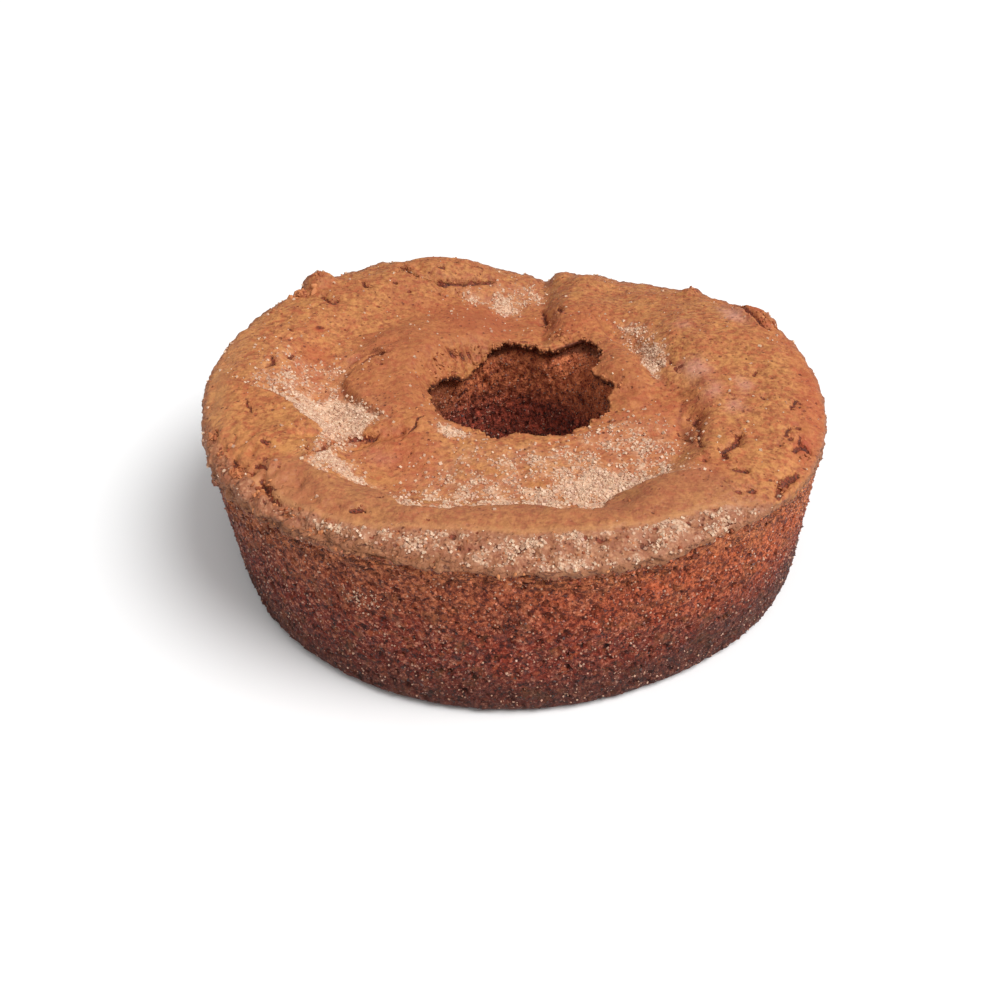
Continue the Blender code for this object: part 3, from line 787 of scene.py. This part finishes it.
def scatter_spots(dice, *carriers):
    """Random places, and the directions that the surface faces there.

    A carrier is a mesh, a chance for each of its points, and how many places it gets.
    """
    places, facing = [], []
    for mesh, chance, count in carriers:
        mesh.calc_loop_triangles()
        corners = read(mesh.loop_triangles, "vertices", 3).astype(int)
        weight = read(mesh.loop_triangles, "area") * chance[corners].mean(axis=1)
        chosen = dice.choice(len(corners), size=count, p=weight / weight.sum())
        mix = dice.dirichlet((1, 1, 1), size=count)
        places.append(np.einsum("ij,ijk->ik", mix, spots_of(mesh)[corners[chosen]]))
        facing.append(read(mesh.loop_triangles, "normal", 3)[chosen])
    return np.concatenate(places), np.concatenate(facing)


def random_turns(count, dice):
    """Rotation matrices in all directions."""
    turns = dice.normal(size=(count, 4))
    w, x, y, z = (turns / np.linalg.norm(turns, axis=1, keepdims=True)).T
    rows = (1 - 2 * (y * y + z * z), 2 * (x * y - w * z), 2 * (x * z + w * y),
            2 * (x * y + w * z), 1 - 2 * (x * x + z * z), 2 * (y * z - w * x),
            2 * (x * z - w * y), 2 * (y * z + w * x), 1 - 2 * (x * x + y * y))
    return np.stack(rows, axis=1).reshape(-1, 3, 3)


def joined_grains(name, kind, places, sizes, dice, crooked=0.0, tones=None):
    """One mesh of many grains. Crooked moves each corner, as a share of the grain's size."""
    corners, faces = small_shape(kind)
    count = len(places)
    shapes = corners * (1 + crooked * dice.uniform(-1, 1, size=(count, len(corners), 1)))
    grains = np.einsum("nij,nkj->nki", random_turns(count, dice), shapes * sizes[:, None, :])
    grains = (grains + places[:, None]).reshape(-1, 3)
    all_faces = (faces + np.arange(count)[:, None, None] * len(corners)).reshape(-1, 3)
    mesh = bpy.data.meshes.new(name)
    mesh.from_pydata(grains, [], all_faces)
    mesh.update()
    tones = dice.uniform(0, 1, count) if tones is None else tones
    keep_fields(mesh, tone=np.repeat(tones, len(corners)))
    print(name + ":", count, "grains,", len(mesh.polygons), "triangles")
    return mesh


# %% Sugar grains
SUGAR_ON_CRUST = 8600
# pale grains on the crumb are partly sugar and partly painted glints of the moist crumb
SUGAR_ON_CRUMB = 4600
CLOT_ANGLE, CLOT_HEIGHT = 247, 0.044     # where sugar clotted on the wall
dice = np.random.default_rng(SUGAR_SEED)


def in_clot(spots, half_turn, half_height):
    """1 in the clot of sugar on the wall, and 0 away from it."""
    turn = (compass(spots)[0] - CLOT_ANGLE) / half_turn
    return bell(np.hypot(turn, (spots[:, 2] - CLOT_HEIGHT) / half_height), 1)


spots = spots_of(crust_mesh)
grouped = wave(spots + 23, 1.0, 0.0028, 2) + wave(spots + 27, 0.7, 0.0075, 2)
on_crust = 0.0015 + sugar ** 1.5 * (0.05 + smooth_step(grouped, -0.45, 0.65))
on_crust = on_crust * (1 - 0.8 * terrace) * (crust_station >= EDGE_STATIONS)
spots = spots_of(crumb_mesh)
clusters = 0.4 + smooth_step(wave(spots + 17, 1.0, 0.0070), -0.1, 0.5)
on_crumb = clusters * (on_wall + 1.1 * in_hole) + 9 * in_clot(spots, 3.5, 0.0035) * on_wall
on_crumb = on_crumb * (spots[:, 2] > 0.002)
places, facing = scatter_spots(dice, (crust_mesh, on_crust, SUGAR_ON_CRUST),
                               (crumb_mesh, on_crumb, SUGAR_ON_CRUMB))
across = (0.38 + 0.72 * dice.uniform(0, 1, len(places)) ** 2.2) * MILLIMETRE
across[SUGAR_ON_CRUST:] *= 0.62
across = across[:, None]
sizes = across * dice.uniform(0.7, 1.2, (len(places), 3))
tones = dice.uniform(0.3, 1, len(places))
tones[SUGAR_ON_CRUST:] *= 0.45 + 0.50 * in_clot(places[SUGAR_ON_CRUST:], 5, 0.005)
sugar_mesh = joined_grains("sugar_grains", "cube", places + facing * across * 0.05, sizes, dice,
                           tones=tones)

# %% Crumbs on the walls
CRUMBS_ON_CRUMB = 21000
CRUMBS_ON_LIP = 2600
dice = np.random.default_rng(CRUMB_SEED)
on_crumb = (on_wall + 1.5 * in_hole) * smooth_step(spots[:, 2], 0.0010, 0.0030)
places, facing = scatter_spots(dice, (crumb_mesh, on_crumb, CRUMBS_ON_CRUMB),
                               (crust_mesh, under ** 2 * (under < 1), CRUMBS_ON_LIP))
across = (0.60 + 1.0 * dice.uniform(0, 1, len(places)) ** 1.6)[:, None] * MILLIMETRE
sizes = across * dice.uniform(0.7, 1.25, (len(places), 3))
crumbs_mesh = joined_grains("crumb_grains", "bipyramid", places - facing * across * 0.10, sizes,
                            dice, crooked=0.25)

# %% Chips of crust
CHIPS = 2600
dice = np.random.default_rng(CHIP_SEED)
at_hole = (crust_station >= 1) & (crust_station < EDGE_STATIONS + 3)
on_crust = (0.010 + 0.16 * shoulder + 0.45 * cracked) * on_top + 1.2 * at_hole + 0.12 * lip
on_crust = on_crust * (crust_station > 0) * (1 - 0.9 * terrace)
places, facing = scatter_spots(dice, (crust_mesh, on_crust, CHIPS))
across = dice.uniform(0.6, 1.6, CHIPS)[:, None] * MILLIMETRE
sizes = across * dice.uniform(0.5, 1.3, (CHIPS, 3))
chip_mesh = joined_grains("crust_chips", "ball", places - facing * across * 0.12, sizes, dice,
                          crooked=0.3)

# %% Flakes where the crust broke
BROKEN = (   # angle, distance from the middle, how far they spread, how many, how large
    (146, 112.5, 3.8, 26, 4.2), (140, 113.5, 2.6, 12, 3.4), (156, 112, 4.5, 10, 2.1),
    (203, 117.5, 3, 14, 2.4), (209, 117, 4, 18, 2.6), (216, 116.5, 4.5, 24, 2.7),
    (224, 115, 5, 22, 2.4), (232, 116.5, 4, 14, 2.1), (240, 117, 5, 12, 1.8),
    (20, 114, 3.5, 14, 2.2), (44, 115, 2.2, 7, 2), (28, 114, 3.5, 14, 2.2), (18, 118, 3, 8, 2),
    (333, 119.5, 3.5, 12, 2), (322, 119.5, 3.5, 12, 1.9), (74, 58, 3, 12, 2),
    (64, 45, 3.5, 16, 2.2), (57, 42, 2.5, 10, 2), (92, 34, 3.5, 12, 1.8), (112, 34, 3.5, 14, 1.9),
    (150, 33, 3.5, 16, 2.2), (163, 34, 3, 10, 2), (351, 43, 2, 9, 2), (331, 93.5, 3.5, 9, 1.7),
    (334, 78, 3, 10, 1.6), (220, 91.5, 3.5, 8, 1.6), (213, 74, 3.5, 8, 1.5),
    (292, 84.5, 3.5, 7, 1.6), (237, 88.5, 3, 7, 1.7), (108, 88, 5, 12, 1.7), (118, 94, 3, 8, 1.8),
    (203, 74, 0.8, 4, 1.7), (84, 33, 2.5, 14, 1.7), (102, 34, 2, 12, 1.6), (130, 34, 3, 14, 1.7),
    (48, 45, 2.5, 10, 1.9), (72, 34, 2, 12, 1.7), (36, 47, 2, 8, 1.8),
)
FLAT = ((0.7, 1.2), (0.5, 1.0), (0.22, 0.5))     # least and most of a flake's three sizes
dice = np.random.default_rng(FLAKE_SEED)
flat_places, across = [], []
for turn, out, spread, many, large in BROKEN:
    strewn = dice.normal(size=many) + 1j * dice.normal(size=many)
    flat_places += list(plan(turn, out) + spread / 2 * strewn)
    across += list(large * dice.uniform(0.45, 1.15, many) * MILLIMETRE)
top_spots = spots_of(crust_mesh)[on_top]
top_places = (top_spots[:, 0] + 1j * top_spots[:, 1]) / MILLIMETRE
places = np.array([top_spots[np.argmin(np.abs(top_places - place))] for place in flat_places])
sizes = np.stack([dice.uniform(*limits, len(places)) for limits in FLAT], axis=1)
flake_mesh = joined_grains("crust_flakes", "lump", places - (0, 0, 0.0002),
                           np.array(across)[:, None] * sizes, dice, crooked=0.26)

# %% [markdown]
# ## Shader maths as Python
#
# A finish is a tree of nodes, and long trees are hard to read. So one small class wraps the output
# of a node, and plain arithmetic on it adds the Math nodes: (1 - mask) * 0.5 reads as it does on
# paper. Colours are mixed in a Mix node, since a Math node would turn them grey. A list of coats
# says which colours lie over each other, as a painter would, from below to above. Every other
# node comes from one method, which takes its type, its settings, and what goes into its sockets.


# %% Values
class Value:
    """What comes out of a node."""

    def __init__(self, finish, socket):
        self.finish = finish
        self.socket = socket

    def maths(self, operation, *values):
        return self.finish.node("ShaderNodeMath", {"operation": operation}, dict(enumerate(values)))

    def __add__(self, other):
        return self.maths("ADD", self, other)

    def __sub__(self, other):
        return self.maths("SUBTRACT", self, other)

    def __rsub__(self, other):
        return self.maths("SUBTRACT", other, self)

    def __mul__(self, other):
        return self.maths("MULTIPLY", self, other)

    def __abs__(self):
        return self.maths("ABSOLUTE", self)

    __radd__ = __add__
    __rmul__ = __mul__

    def step(self, low, high):
        """0 below low, 1 above high, smooth between."""
        settings = {"interpolation_type": "SMOOTHSTEP", "clamp": True}
        sockets = {0: self, 1: low, 2: high, 3: 0.0, 4: 1.0}
        return self.finish.node("ShaderNodeMapRange", settings, sockets)

    def fade(self, low, high):
        """1 below low, 0 above high, smooth between."""
        return 1 - self.step(low, high)

    def held(self):
        """The value, kept from 0 to 1."""
        return self.maths("MAXIMUM", self.maths("MINIMUM", self, 1.0), 0.0)

    def coats(self, *layers):
        """This colour under others, from below to above. Each is a share and a colour."""
        colour = self
        for share, other in layers:
            colour = self.finish.mix(share, colour, other)
        return colour


# %% Finishes
def tint(red, green, blue):
    """A colour as it looks on a screen, 0 to 255, for a shader's socket."""
    def linear(value):
        value /= 255
        return value / 12.92 if value <= 0.04045 else ((value + 0.055) / 1.055) ** 2.4
    return (linear(red), linear(green), linear(blue), 1.0)


class Finish:
    """One material, as it is being written."""

    def __init__(self, name):
        self.material = bpy.data.materials.new(name)
        self.material.use_nodes = True
        self.tree = self.material.node_tree
        self.tree.nodes.clear()
        self.places = self.node("ShaderNodeTexCoord", {}, {}, "Object")

    def node(self, kind, settings, sockets, output=0):
        """Adds any node: its settings first, then the values or links of its sockets."""
        made = self.tree.nodes.new(kind)
        for name, setting in settings.items():
            setattr(made, name, setting)
        for name, value in sockets.items():
            if isinstance(value, Value):
                self.tree.links.new(value.socket, made.inputs[name])
            else:
                made.inputs[name].default_value = value
        return Value(self, made.outputs[output])

    def noise(self, waves, detail=3.0, roughness=0.55, stretched=None):
        """Cloudy noise, so many waves in a metre, from about 0.25 to 0.75."""
        places = self.places
        if stretched:
            places = self.node("ShaderNodeMapping", {}, {"Vector": places, "Scale": stretched})
        sockets = {"Vector": places, "Scale": waves, "Detail": detail, "Roughness": roughness}
        return self.node("ShaderNodeTexNoise", {}, sockets, "Fac")

    def cells(self, waves):
        """Grainy cells, so many in a metre: 0 in the middle of each."""
        sockets = {"Vector": self.places, "Scale": waves}
        return self.node("ShaderNodeTexVoronoi", {}, sockets, "Distance")

    def slits(self, thin, wide):
        """1 in thin slits between layers that lie flat."""
        return abs(self.noise(460, 3.0, 0.6, (0.26, 0.26, 1.0)) - 0.5).fade(thin, wide)

    def field(self, name):
        """A number that the mesh keeps for each point."""
        return self.node("ShaderNodeAttribute", {"attribute_name": name}, {}, "Fac")

    def away(self, axis):
        """Metres from the middle of the cake's base along one axis."""
        return self.node("ShaderNodeSeparateXYZ", {}, {0: self.places}, axis)

    def mix(self, share, first, second):
        """Colours: the first where share is 0, the second where it is 1."""
        first, second = (colour if isinstance(colour, Value) else tint(*colour)
                         for colour in (first, second))
        sockets = {0: share, 6: first, 7: second}
        return self.node("ShaderNodeMix", {"data_type": "RGBA"}, sockets, 2)

    def bump(self, height, distance, strength, under=None):
        """Relief too fine for the mesh, over another. Distance is its depth in metres."""
        sockets = {"Height": height, "Distance": distance, "Strength": strength}
        if under:
            sockets["Normal"] = under
        return self.node("ShaderNodeBump", {}, sockets, "Normal")

    def surface(self, **sockets):
        """The shader itself."""
        sockets = {name.replace("_", " "): value for name, value in sockets.items()}
        shader = self.node("ShaderNodeBsdfPrincipled", {}, sockets)
        output = self.tree.nodes.new("ShaderNodeOutputMaterial")
        self.tree.links.new(shader.socket, output.inputs["Surface"])
        print(self.material.name, "has", len(self.tree.nodes), "nodes")
        return self.material


print("a baked brown as the shader takes it:", [round(x, 3) for x in tint(190, 126, 82)])

# %% [markdown]
# ## The finish of the crust
#
# Baked crust isn't one brown. The dry smooth sheets are golden, the collars and the damp trough are
# redder, and the open pits and cracks show the dark crumb, with painted shade in their depth. Over
# that lies sugar that has half melted: a pinkish film with pale specks. Each of these is one mask
# with its colour, one coat over the next. Then come the torn places, with painted shade at the
# foot of folds, in slits and under the hole's edge, and last the relief that is too fine for the
# mesh. A painted sheen and painted highlights lie on the crust too.

# %% Bare crust
crust = Finish("baked_crust")
on_terrace, on_shoulder = crust.field("terrace"), crust.field("shoulder")
on_lip, gloss_and_painted_sheen = crust.field("lip"), crust.field("sheen")
patches = crust.noise(95, 6.0, 0.6)
mottle = crust.noise(310, 3.0, 0.74)
hue = crust.noise(330, 3.0, 0.74)
blotch = crust.noise(560, 1.0, 0.60)
fine = crust.noise(1150, 2.0, 0.7)
pebbly = crust.cells(620).step(0.20, 0.62)
crumbly = mottle * 0.46 + blotch * 0.40 + fine * 0.14

brown = crust.mix(crumbly.step(0.35, 0.65), (134, 70, 39), (213, 145, 86)).coats(
    (patches.step(0.45, 0.60) * 0.44, (168, 90, 56)),
    (patches.fade(0.36, 0.48) * 0.34, (198, 136, 78)),
    (hue.step(0.50, 0.62) * 0.46, (184, 90, 56)),
    (hue.fade(0.38, 0.50) * 0.42, (194, 132, 72)),
    ((1 - crust.field("golden")) * 0.32, (170, 92, 58)),
    (crust.away("Y").step(0.01, 0.09) * 0.13, (118, 62, 38)),     # a little darker at the back
    ((crust.field("redder") * 0.42).held(), (172, 78, 46)),
    (crust.field("collar") * 0.32, (158, 82, 48)),
    (on_terrace * 0.38, (158, 101, 72)),
    # painted highlight on the shoulder's crest, and painted light on the left rim
    (crust.field("brow") * 0.40, (206, 150, 100)),
    (on_shoulder * 0.56, (130, 71, 45)),
    ((1 - pebbly) * on_shoulder * mottle.step(0.40, 0.56) * 0.44, (206, 152, 116)),
    (pebbly * on_shoulder * 0.35, (128, 68, 50)),
    (on_lip * 0.50, (140, 90, 56)),
    # painted sheen: pale pinkish highlights, on spots where the crust is also glossier
    ((gloss_and_painted_sheen * (0.20 + blotch * 0.5)).held(), (210, 152, 138)))
print("bare crust:", len(crust.tree.nodes), "nodes")

# %% Sugar that has half melted
granules = crust.cells(720).fade(0.15, 0.60)
clotted = crust.noise(360, 6.0, 0.85)
drifts = crust.noise(170, 3.0, 0.6)
frosted = (crust.field("sugar") + on_shoulder * 0.10).held()
film = (frosted * 1.05 + (clotted * 0.5 + drifts * 0.5 - 0.5) * 3.6 * frosted).held()
specks = (clotted * 0.5 + blotch * 0.4 + granules * 0.1 + frosted * 0.34).step(0.60, 0.76)
specks = specks * frosted.step(0.0, 0.3)
brown = brown.coats((film * 0.68, (214, 163, 129)), (specks * 0.75, (226, 190, 160)))
print("with sugar:", len(crust.tree.nodes), "nodes")

# %% Torn places, and the crust's relief
pores = crust.cells(420).fade(0.12, 0.26) * patches.step(0.46, 0.54) * 0.55
pores = pores + crust.cells(230).fade(0.07, 0.20) * hue.step(0.47, 0.53)
pocks = crust.cells(400).fade(0.14, 0.34) * mottle.step(0.46, 0.56) * on_shoulder * 0.8
pocks = (pores * (1 - on_terrace * 0.5) + pocks).held()
ragged = (mottle - 0.5) * 0.9 + (fine - 0.5) * 0.6
opened = (crust.field("cracked") + ragged).step(0.60, 0.78)
burst = (crust.field("hollow") + ragged).step(0.58, 0.78)
# the dark crumb in cracks and burst pits, darkened further as painted shade in their depth
crumb_and_painted_shade = crust.mix((fine * 0.6 + mottle * 0.4).step(0.42, 0.60), (50, 17, 9), (132, 54, 30))
slits = crust.slits(0.012, 0.040) * on_lip.step(0.3, 1.0) * mottle.step(0.42, 0.52)
brown = brown.coats(
    # small pits darker: partly the crust's own colour, partly painted shade in them
    (pocks * 0.75, (104, 48, 36)),
    # painted shade at the foot of each fold
    (crust.field("foot") * 0.50, (120, 56, 38)),
    (opened * 0.95, crumb_and_painted_shade),
    (burst * 0.90, crumb_and_painted_shade),
    # painted shade on the crust's torn edge and underside at the hole
    ((crust.field("edge") + ragged * 0.6).step(0.3, 0.7) * 0.85, (84, 36, 26)),
    ((crust.field("under") + (mottle - 0.5) * 1.8).step(0.35, 0.75) * 0.7, (158, 88, 54)),
    # painted shade in thin slits between layers of the lip
    (slits * 0.7, (84, 42, 30)))

coarse = (frosted * 0.8 + on_shoulder * 0.5 + on_lip * 0.3 + 0.06).held()
dents = pocks * 0.9 + slits + opened * 1.2 + burst * 0.8
relief = crust.bump(fine, 0.0005, 0.26)
relief = crust.bump(granules * coarse, 0.0007, 0.48, relief)
relief = crust.bump(mottle * 0.6 + blotch * 0.5 - dents, 0.0015, 0.50, relief)
crust_material = crust.surface(Base_Color=brown, Normal=relief, Specular_IOR_Level=0.35,
                               Roughness=0.64 - on_terrace * 0.10 - gloss_and_painted_sheen * 0.20)

# %% [markdown]
# ## The finish of the crumb
#
# The wall that stood against the tin is dark red-brown and coarse, with lighter crumbs, and near
# the base it is nearly grey-brown: partly its own colour, partly painted shade. Towards the right
# it is painted lighter and redder, where the light falls, and towards the left painted darker. In
# the hole it is darker still, with painted shade under the crust's edge and on the left wall, but
# for a warm rim of painted light near the top. The gaps under the lip are almost black-brown,
# painted shade because no light gets in, and the pores are darker, partly painted shade. Loose
# crumbs take the same colours, each from its own tone.


# %% Colours of crumb
def crumb_colour(finish, tone):
    """Red-brown crumb, from dark to light with the tone, and darker towards the base."""
    height, rightward = finish.away("Z"), finish.away("X")

    def shade(dark, light):
        return finish.mix(tone.step(0.10, 0.90), dark, light)

    high = (height + (finish.noise(90) - 0.5) * 0.020).step(0.028, 0.056)
    # painted light: the right side of the wall lighter and redder, where the key light falls
    right = rightward.step(0.01, 0.11) * height.step(0.018, 0.044)
    painted_glow = height.step(0.010, 0.024) * rightward.step(-0.06, 0.04)
    painted_glow = painted_glow * finish.noise(60, 4.0, 0.6).step(0.40, 0.58)
    # darker towards the base: partly the crumb's own colour, partly painted shade
    sunk = rightward.step(0.00, 0.09) * 0.010     # the dark foot is lower at the right
    low = (height + (finish.noise(110) - 0.5) * 0.012 - sunk).fade(0.002, 0.030)
    return finish.mix(tone.step(0.12, 0.55), (40, 13, 10), (122, 43, 27)).coats(
        (tone.step(0.62, 1.00) * 0.85, (208, 138, 110)),
        (finish.noise(260, 4.0, 0.7).step(0.50, 0.62) * 0.34, (156, 50, 28)),
        (finish.noise(300, 2.0, 0.6).step(0.56, 0.68) * 0.45, (188, 92, 46)),
        (finish.noise(340, 4.0, 0.7).step(0.53, 0.65) * 0.36, (104, 76, 74)),
        (finish.noise(150, 4.0, 0.6).step(0.52, 0.66) * 0.40, (108, 78, 50)),
        (high * 0.42, shade((106, 42, 27), (228, 136, 84))),
        # painted light on the right side of the wall
        (right * 0.36, shade((116, 50, 28), (234, 138, 74))),
        (painted_glow * 0.42, shade((98, 26, 13), (202, 78, 38))),
        # painted shade: the left side of the wall, away from the key light, is darker
        (rightward.fade(-0.11, -0.05) * 0.14, (60, 28, 20)),
        # darker towards the base, partly painted shade
        (low * 0.62, (56, 36, 30)))


# %% Crumb of the wall and the hole
crumb = Finish("dark_crumb")
tone = crumb.noise(560, 7.0, 0.75)
hole_tone = crumb.noise(420, 7.0, 0.8)
by_lip = crumb.field("under_lip")
lip_brown = crumb.mix(tone.step(0.40, 0.60), (140, 66, 40), (216, 130, 82))
slits = crumb.slits(0.016, 0.052) * by_lip.step(0.08, 0.6) * crumb.noise(200).step(0.42, 0.52)
# painted light: the hole's wall lighter and warmer near its top, where light reaches in
high = (crumb.away("Z") + (hole_tone - 0.5) * 0.02).step(0.030, 0.046)
warm = crumb.mix(hole_tone.step(0.36, 0.60), (158, 64, 42), (255, 156, 100))
# painted shadow under the crust's overhang
painted_overhang_shadow = (crumb.field("overhung") + (hole_tone - 0.5) * 2.0).step(0.35, 0.75)
hole_brown = crumb.mix(hole_tone.step(0.38, 0.66), (64, 23, 19), (214, 100, 74)).coats(
    # painted light near the hole's top
    (high * 0.75, warm),
    (painted_overhang_shadow * 0.75, (38, 13, 10)),
    # painted shade on the hole's left wall
    (crumb.away("X").fade(-0.034, -0.016) * 0.50, (44, 17, 13)))     # the left wall is darker
brown = crumb_colour(crumb, (tone - 0.5) * 4.2 + 0.5).coats(
    # pores darker: partly the crumb's own colour, partly painted shade in them
    (crumb.field("pores") * 0.35, (38, 15, 13)),
    (by_lip * 0.60, lip_brown),
    ((crumb.field("gaps") * 0.45 + slits * 0.75).held(), (72, 34, 24)),
    (crumb.field("in_hole") * 0.88, hole_brown))
relief = crumb.bump(crumb.cells(900), 0.0008, 0.6)
relief = crumb.bump(tone - slits * 0.6, 0.0012, 0.6, relief)
crumb_material = crumb.surface(Base_Color=brown, Roughness=0.70, Normal=relief,
                               Specular_IOR_Level=0.25)

# %% Loose crumbs, chips and flakes
loose = Finish("loose_crumb")
tone = loose.field("tone") * 0.95 + (loose.noise(900, 2.0) - 0.5) * 0.6
loose_material = loose.surface(Base_Color=crumb_colour(loose, tone), Roughness=0.38,
                               Normal=loose.bump(loose.noise(2400, 2.0), 0.0003, 0.5),
                               Specular_IOR_Level=0.45)
chips = Finish("crust_chip")
tone = chips.field("tone") * 0.9 + (chips.noise(900, 2.0) - 0.5) * 0.5
chip_material = chips.surface(Base_Color=chips.mix(tone.held(), (146, 74, 46), (212, 140, 90)),
                              Normal=chips.bump(chips.noise(2200, 2.0), 0.0003, 0.5),
                              Roughness=0.70, Specular_IOR_Level=0.3)

# %% [markdown]
# ## The finish of the sugar
#
# A sugar crystal is clear, but a heap of small ones on brown cake looks warm white, with a
# glint here and there. A pale base with a low roughness does that without the cost of real glass.

# %% Sugar
crystals = Finish("sugar")
pale = crystals.mix(crystals.field("tone").step(0.0, 1.0), (180, 129, 106), (222, 189, 159))
sugar_material = crystals.surface(Base_Color=pale, Roughness=0.42)

# %% [markdown]
# ## Putting the pieces on the frame
#
# Each piece goes where CAD put the cake: its mesh takes the same small centring shift, and its
# object stays at the origin. It rides on the root body and stands for the plain solid, which is
# hidden.


# %% Add the pieces
def add_object(name, data):
    """An object in the scene, at the origin."""
    made = bpy.data.objects.new(name, data)
    bpy.context.scene.collection.objects.link(made)
    return made


def add_piece(mesh, material, smooth):
    """A finished piece of the cake, on its body, in place of the plain solid."""
    move_to(mesh, spots_of(mesh) + CAD_CENTRING)
    mesh.materials.append(material)
    if smooth:
        mesh.shade_smooth()
    piece = add_object(mesh.name, mesh)
    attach(piece, "root")
    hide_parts("cake")
    mesh.calc_loop_triangles()
    print(piece.name + ":", len(mesh.loop_triangles), "triangles")


for parts in ((crust_mesh, crust_material, True), (crumb_mesh, crumb_material, True),
              (crumbs_mesh, loose_material, False), (chip_mesh, chip_material, True),
              (flake_mesh, chip_material, True), (sugar_mesh, sugar_material, False)):
    add_piece(*parts)

# %% [markdown]
# ## Floor, light and camera
#
# The floor is plain and pale. One strong soft light stands above and to the right, a little in
# front, because the right side of the cake is the lighter one. A weaker one fills in from the
# front, and the sky does the rest. The camera looks down at 37 degrees from less than half a
# metre, so the near side is larger than the far one.

# %% Floor
FLOOR_SIZE = 6.0
FLOOR_GAP = 0.0004     # the floor lies just under the cake, so that the two don't share a plane
floor_shape = bmesh.new()
bmesh.ops.create_grid(floor_shape, x_segments=1, y_segments=1, size=FLOOR_SIZE)
bmesh.ops.translate(floor_shape, verts=floor_shape.verts, vec=(0, 0, -FLOOR_GAP))
floor_mesh = bpy.data.meshes.new("floor")
floor_shape.to_mesh(floor_mesh)
floor_shape.free()
paper = Finish("pale_paper")
cloudy = paper.mix(paper.noise(3, 2.0), (243, 243, 243), (247, 247, 247))
floor_mesh.materials.append(paper.surface(Base_Color=cloudy, Roughness=0.9))
floor = add_object("floor", floor_mesh)
print("floor: one plane,", round(floor.dimensions.x, 1), "m wide")


# %% Light
def direction(compass_angle, height_angle):
    """A step of one metre towards a compass angle and a height above the floor, in degrees."""
    level = plan(compass_angle, math.cos(math.radians(height_angle)))
    return Vector((level.real, level.imag, math.sin(math.radians(height_angle))))


def soft_light(name, compass_angle, height_angle, strength, spread):
    """Even light from a direction. A wide spread, in degrees, gives shadows soft edges."""
    data = bpy.data.lights.new(name, "SUN")
    data.energy, data.angle = strength, math.radians(spread)
    light = add_object(name, data)
    light.location = direction(compass_angle, height_angle) * 2
    light.rotation_euler = (-light.location).to_track_quat("-Z", "Y").to_euler()
    print(name, "light at", [round(x, 2) for x in light.location])


SKY_STRENGTH = 0.34
soft_light("key", 338, 54, 2.8, 36)
soft_light("front", 275, 62, 0.6, 40)
world = bpy.data.worlds.new("sky")
world.use_nodes = True
sky = world.node_tree.nodes["Background"].inputs
sky["Color"].default_value, sky["Strength"].default_value = (1.0, 1.0, 1.0, 1.0), SKY_STRENGTH
bpy.context.scene.world = world
bpy.context.scene.view_settings.view_transform = "Standard"

# %% Camera
CAMERA_FRONT = 270
CAMERA_HEIGHT_ANGLE = 37.16
CAMERA_DISTANCE = 0.436
CAMERA_ROLL = math.radians(0.62)
back = direction(CAMERA_FRONT, CAMERA_HEIGHT_ANGLE)
up = direction(CAMERA_FRONT + 180, 90 - CAMERA_HEIGHT_ANGLE)
looking = Matrix((Vector((1, 0, 0)), up, back)).transposed().to_4x4()
camera_data = bpy.data.cameras.new("camera")
camera_data.lens, camera_data.sensor_width = 36, 36
camera_data.shift_x, camera_data.shift_y = -0.0116, 0.0095
camera_data.clip_start = 0.01
camera = add_object("camera", camera_data)
rolled = Matrix.Rotation(CAMERA_ROLL, 4, back) @ looking
camera.matrix_world = Matrix.Translation(back * CAMERA_DISTANCE) @ rolled
bpy.context.scene.camera = camera
print("camera at", [round(x, 3) for x in camera.location])
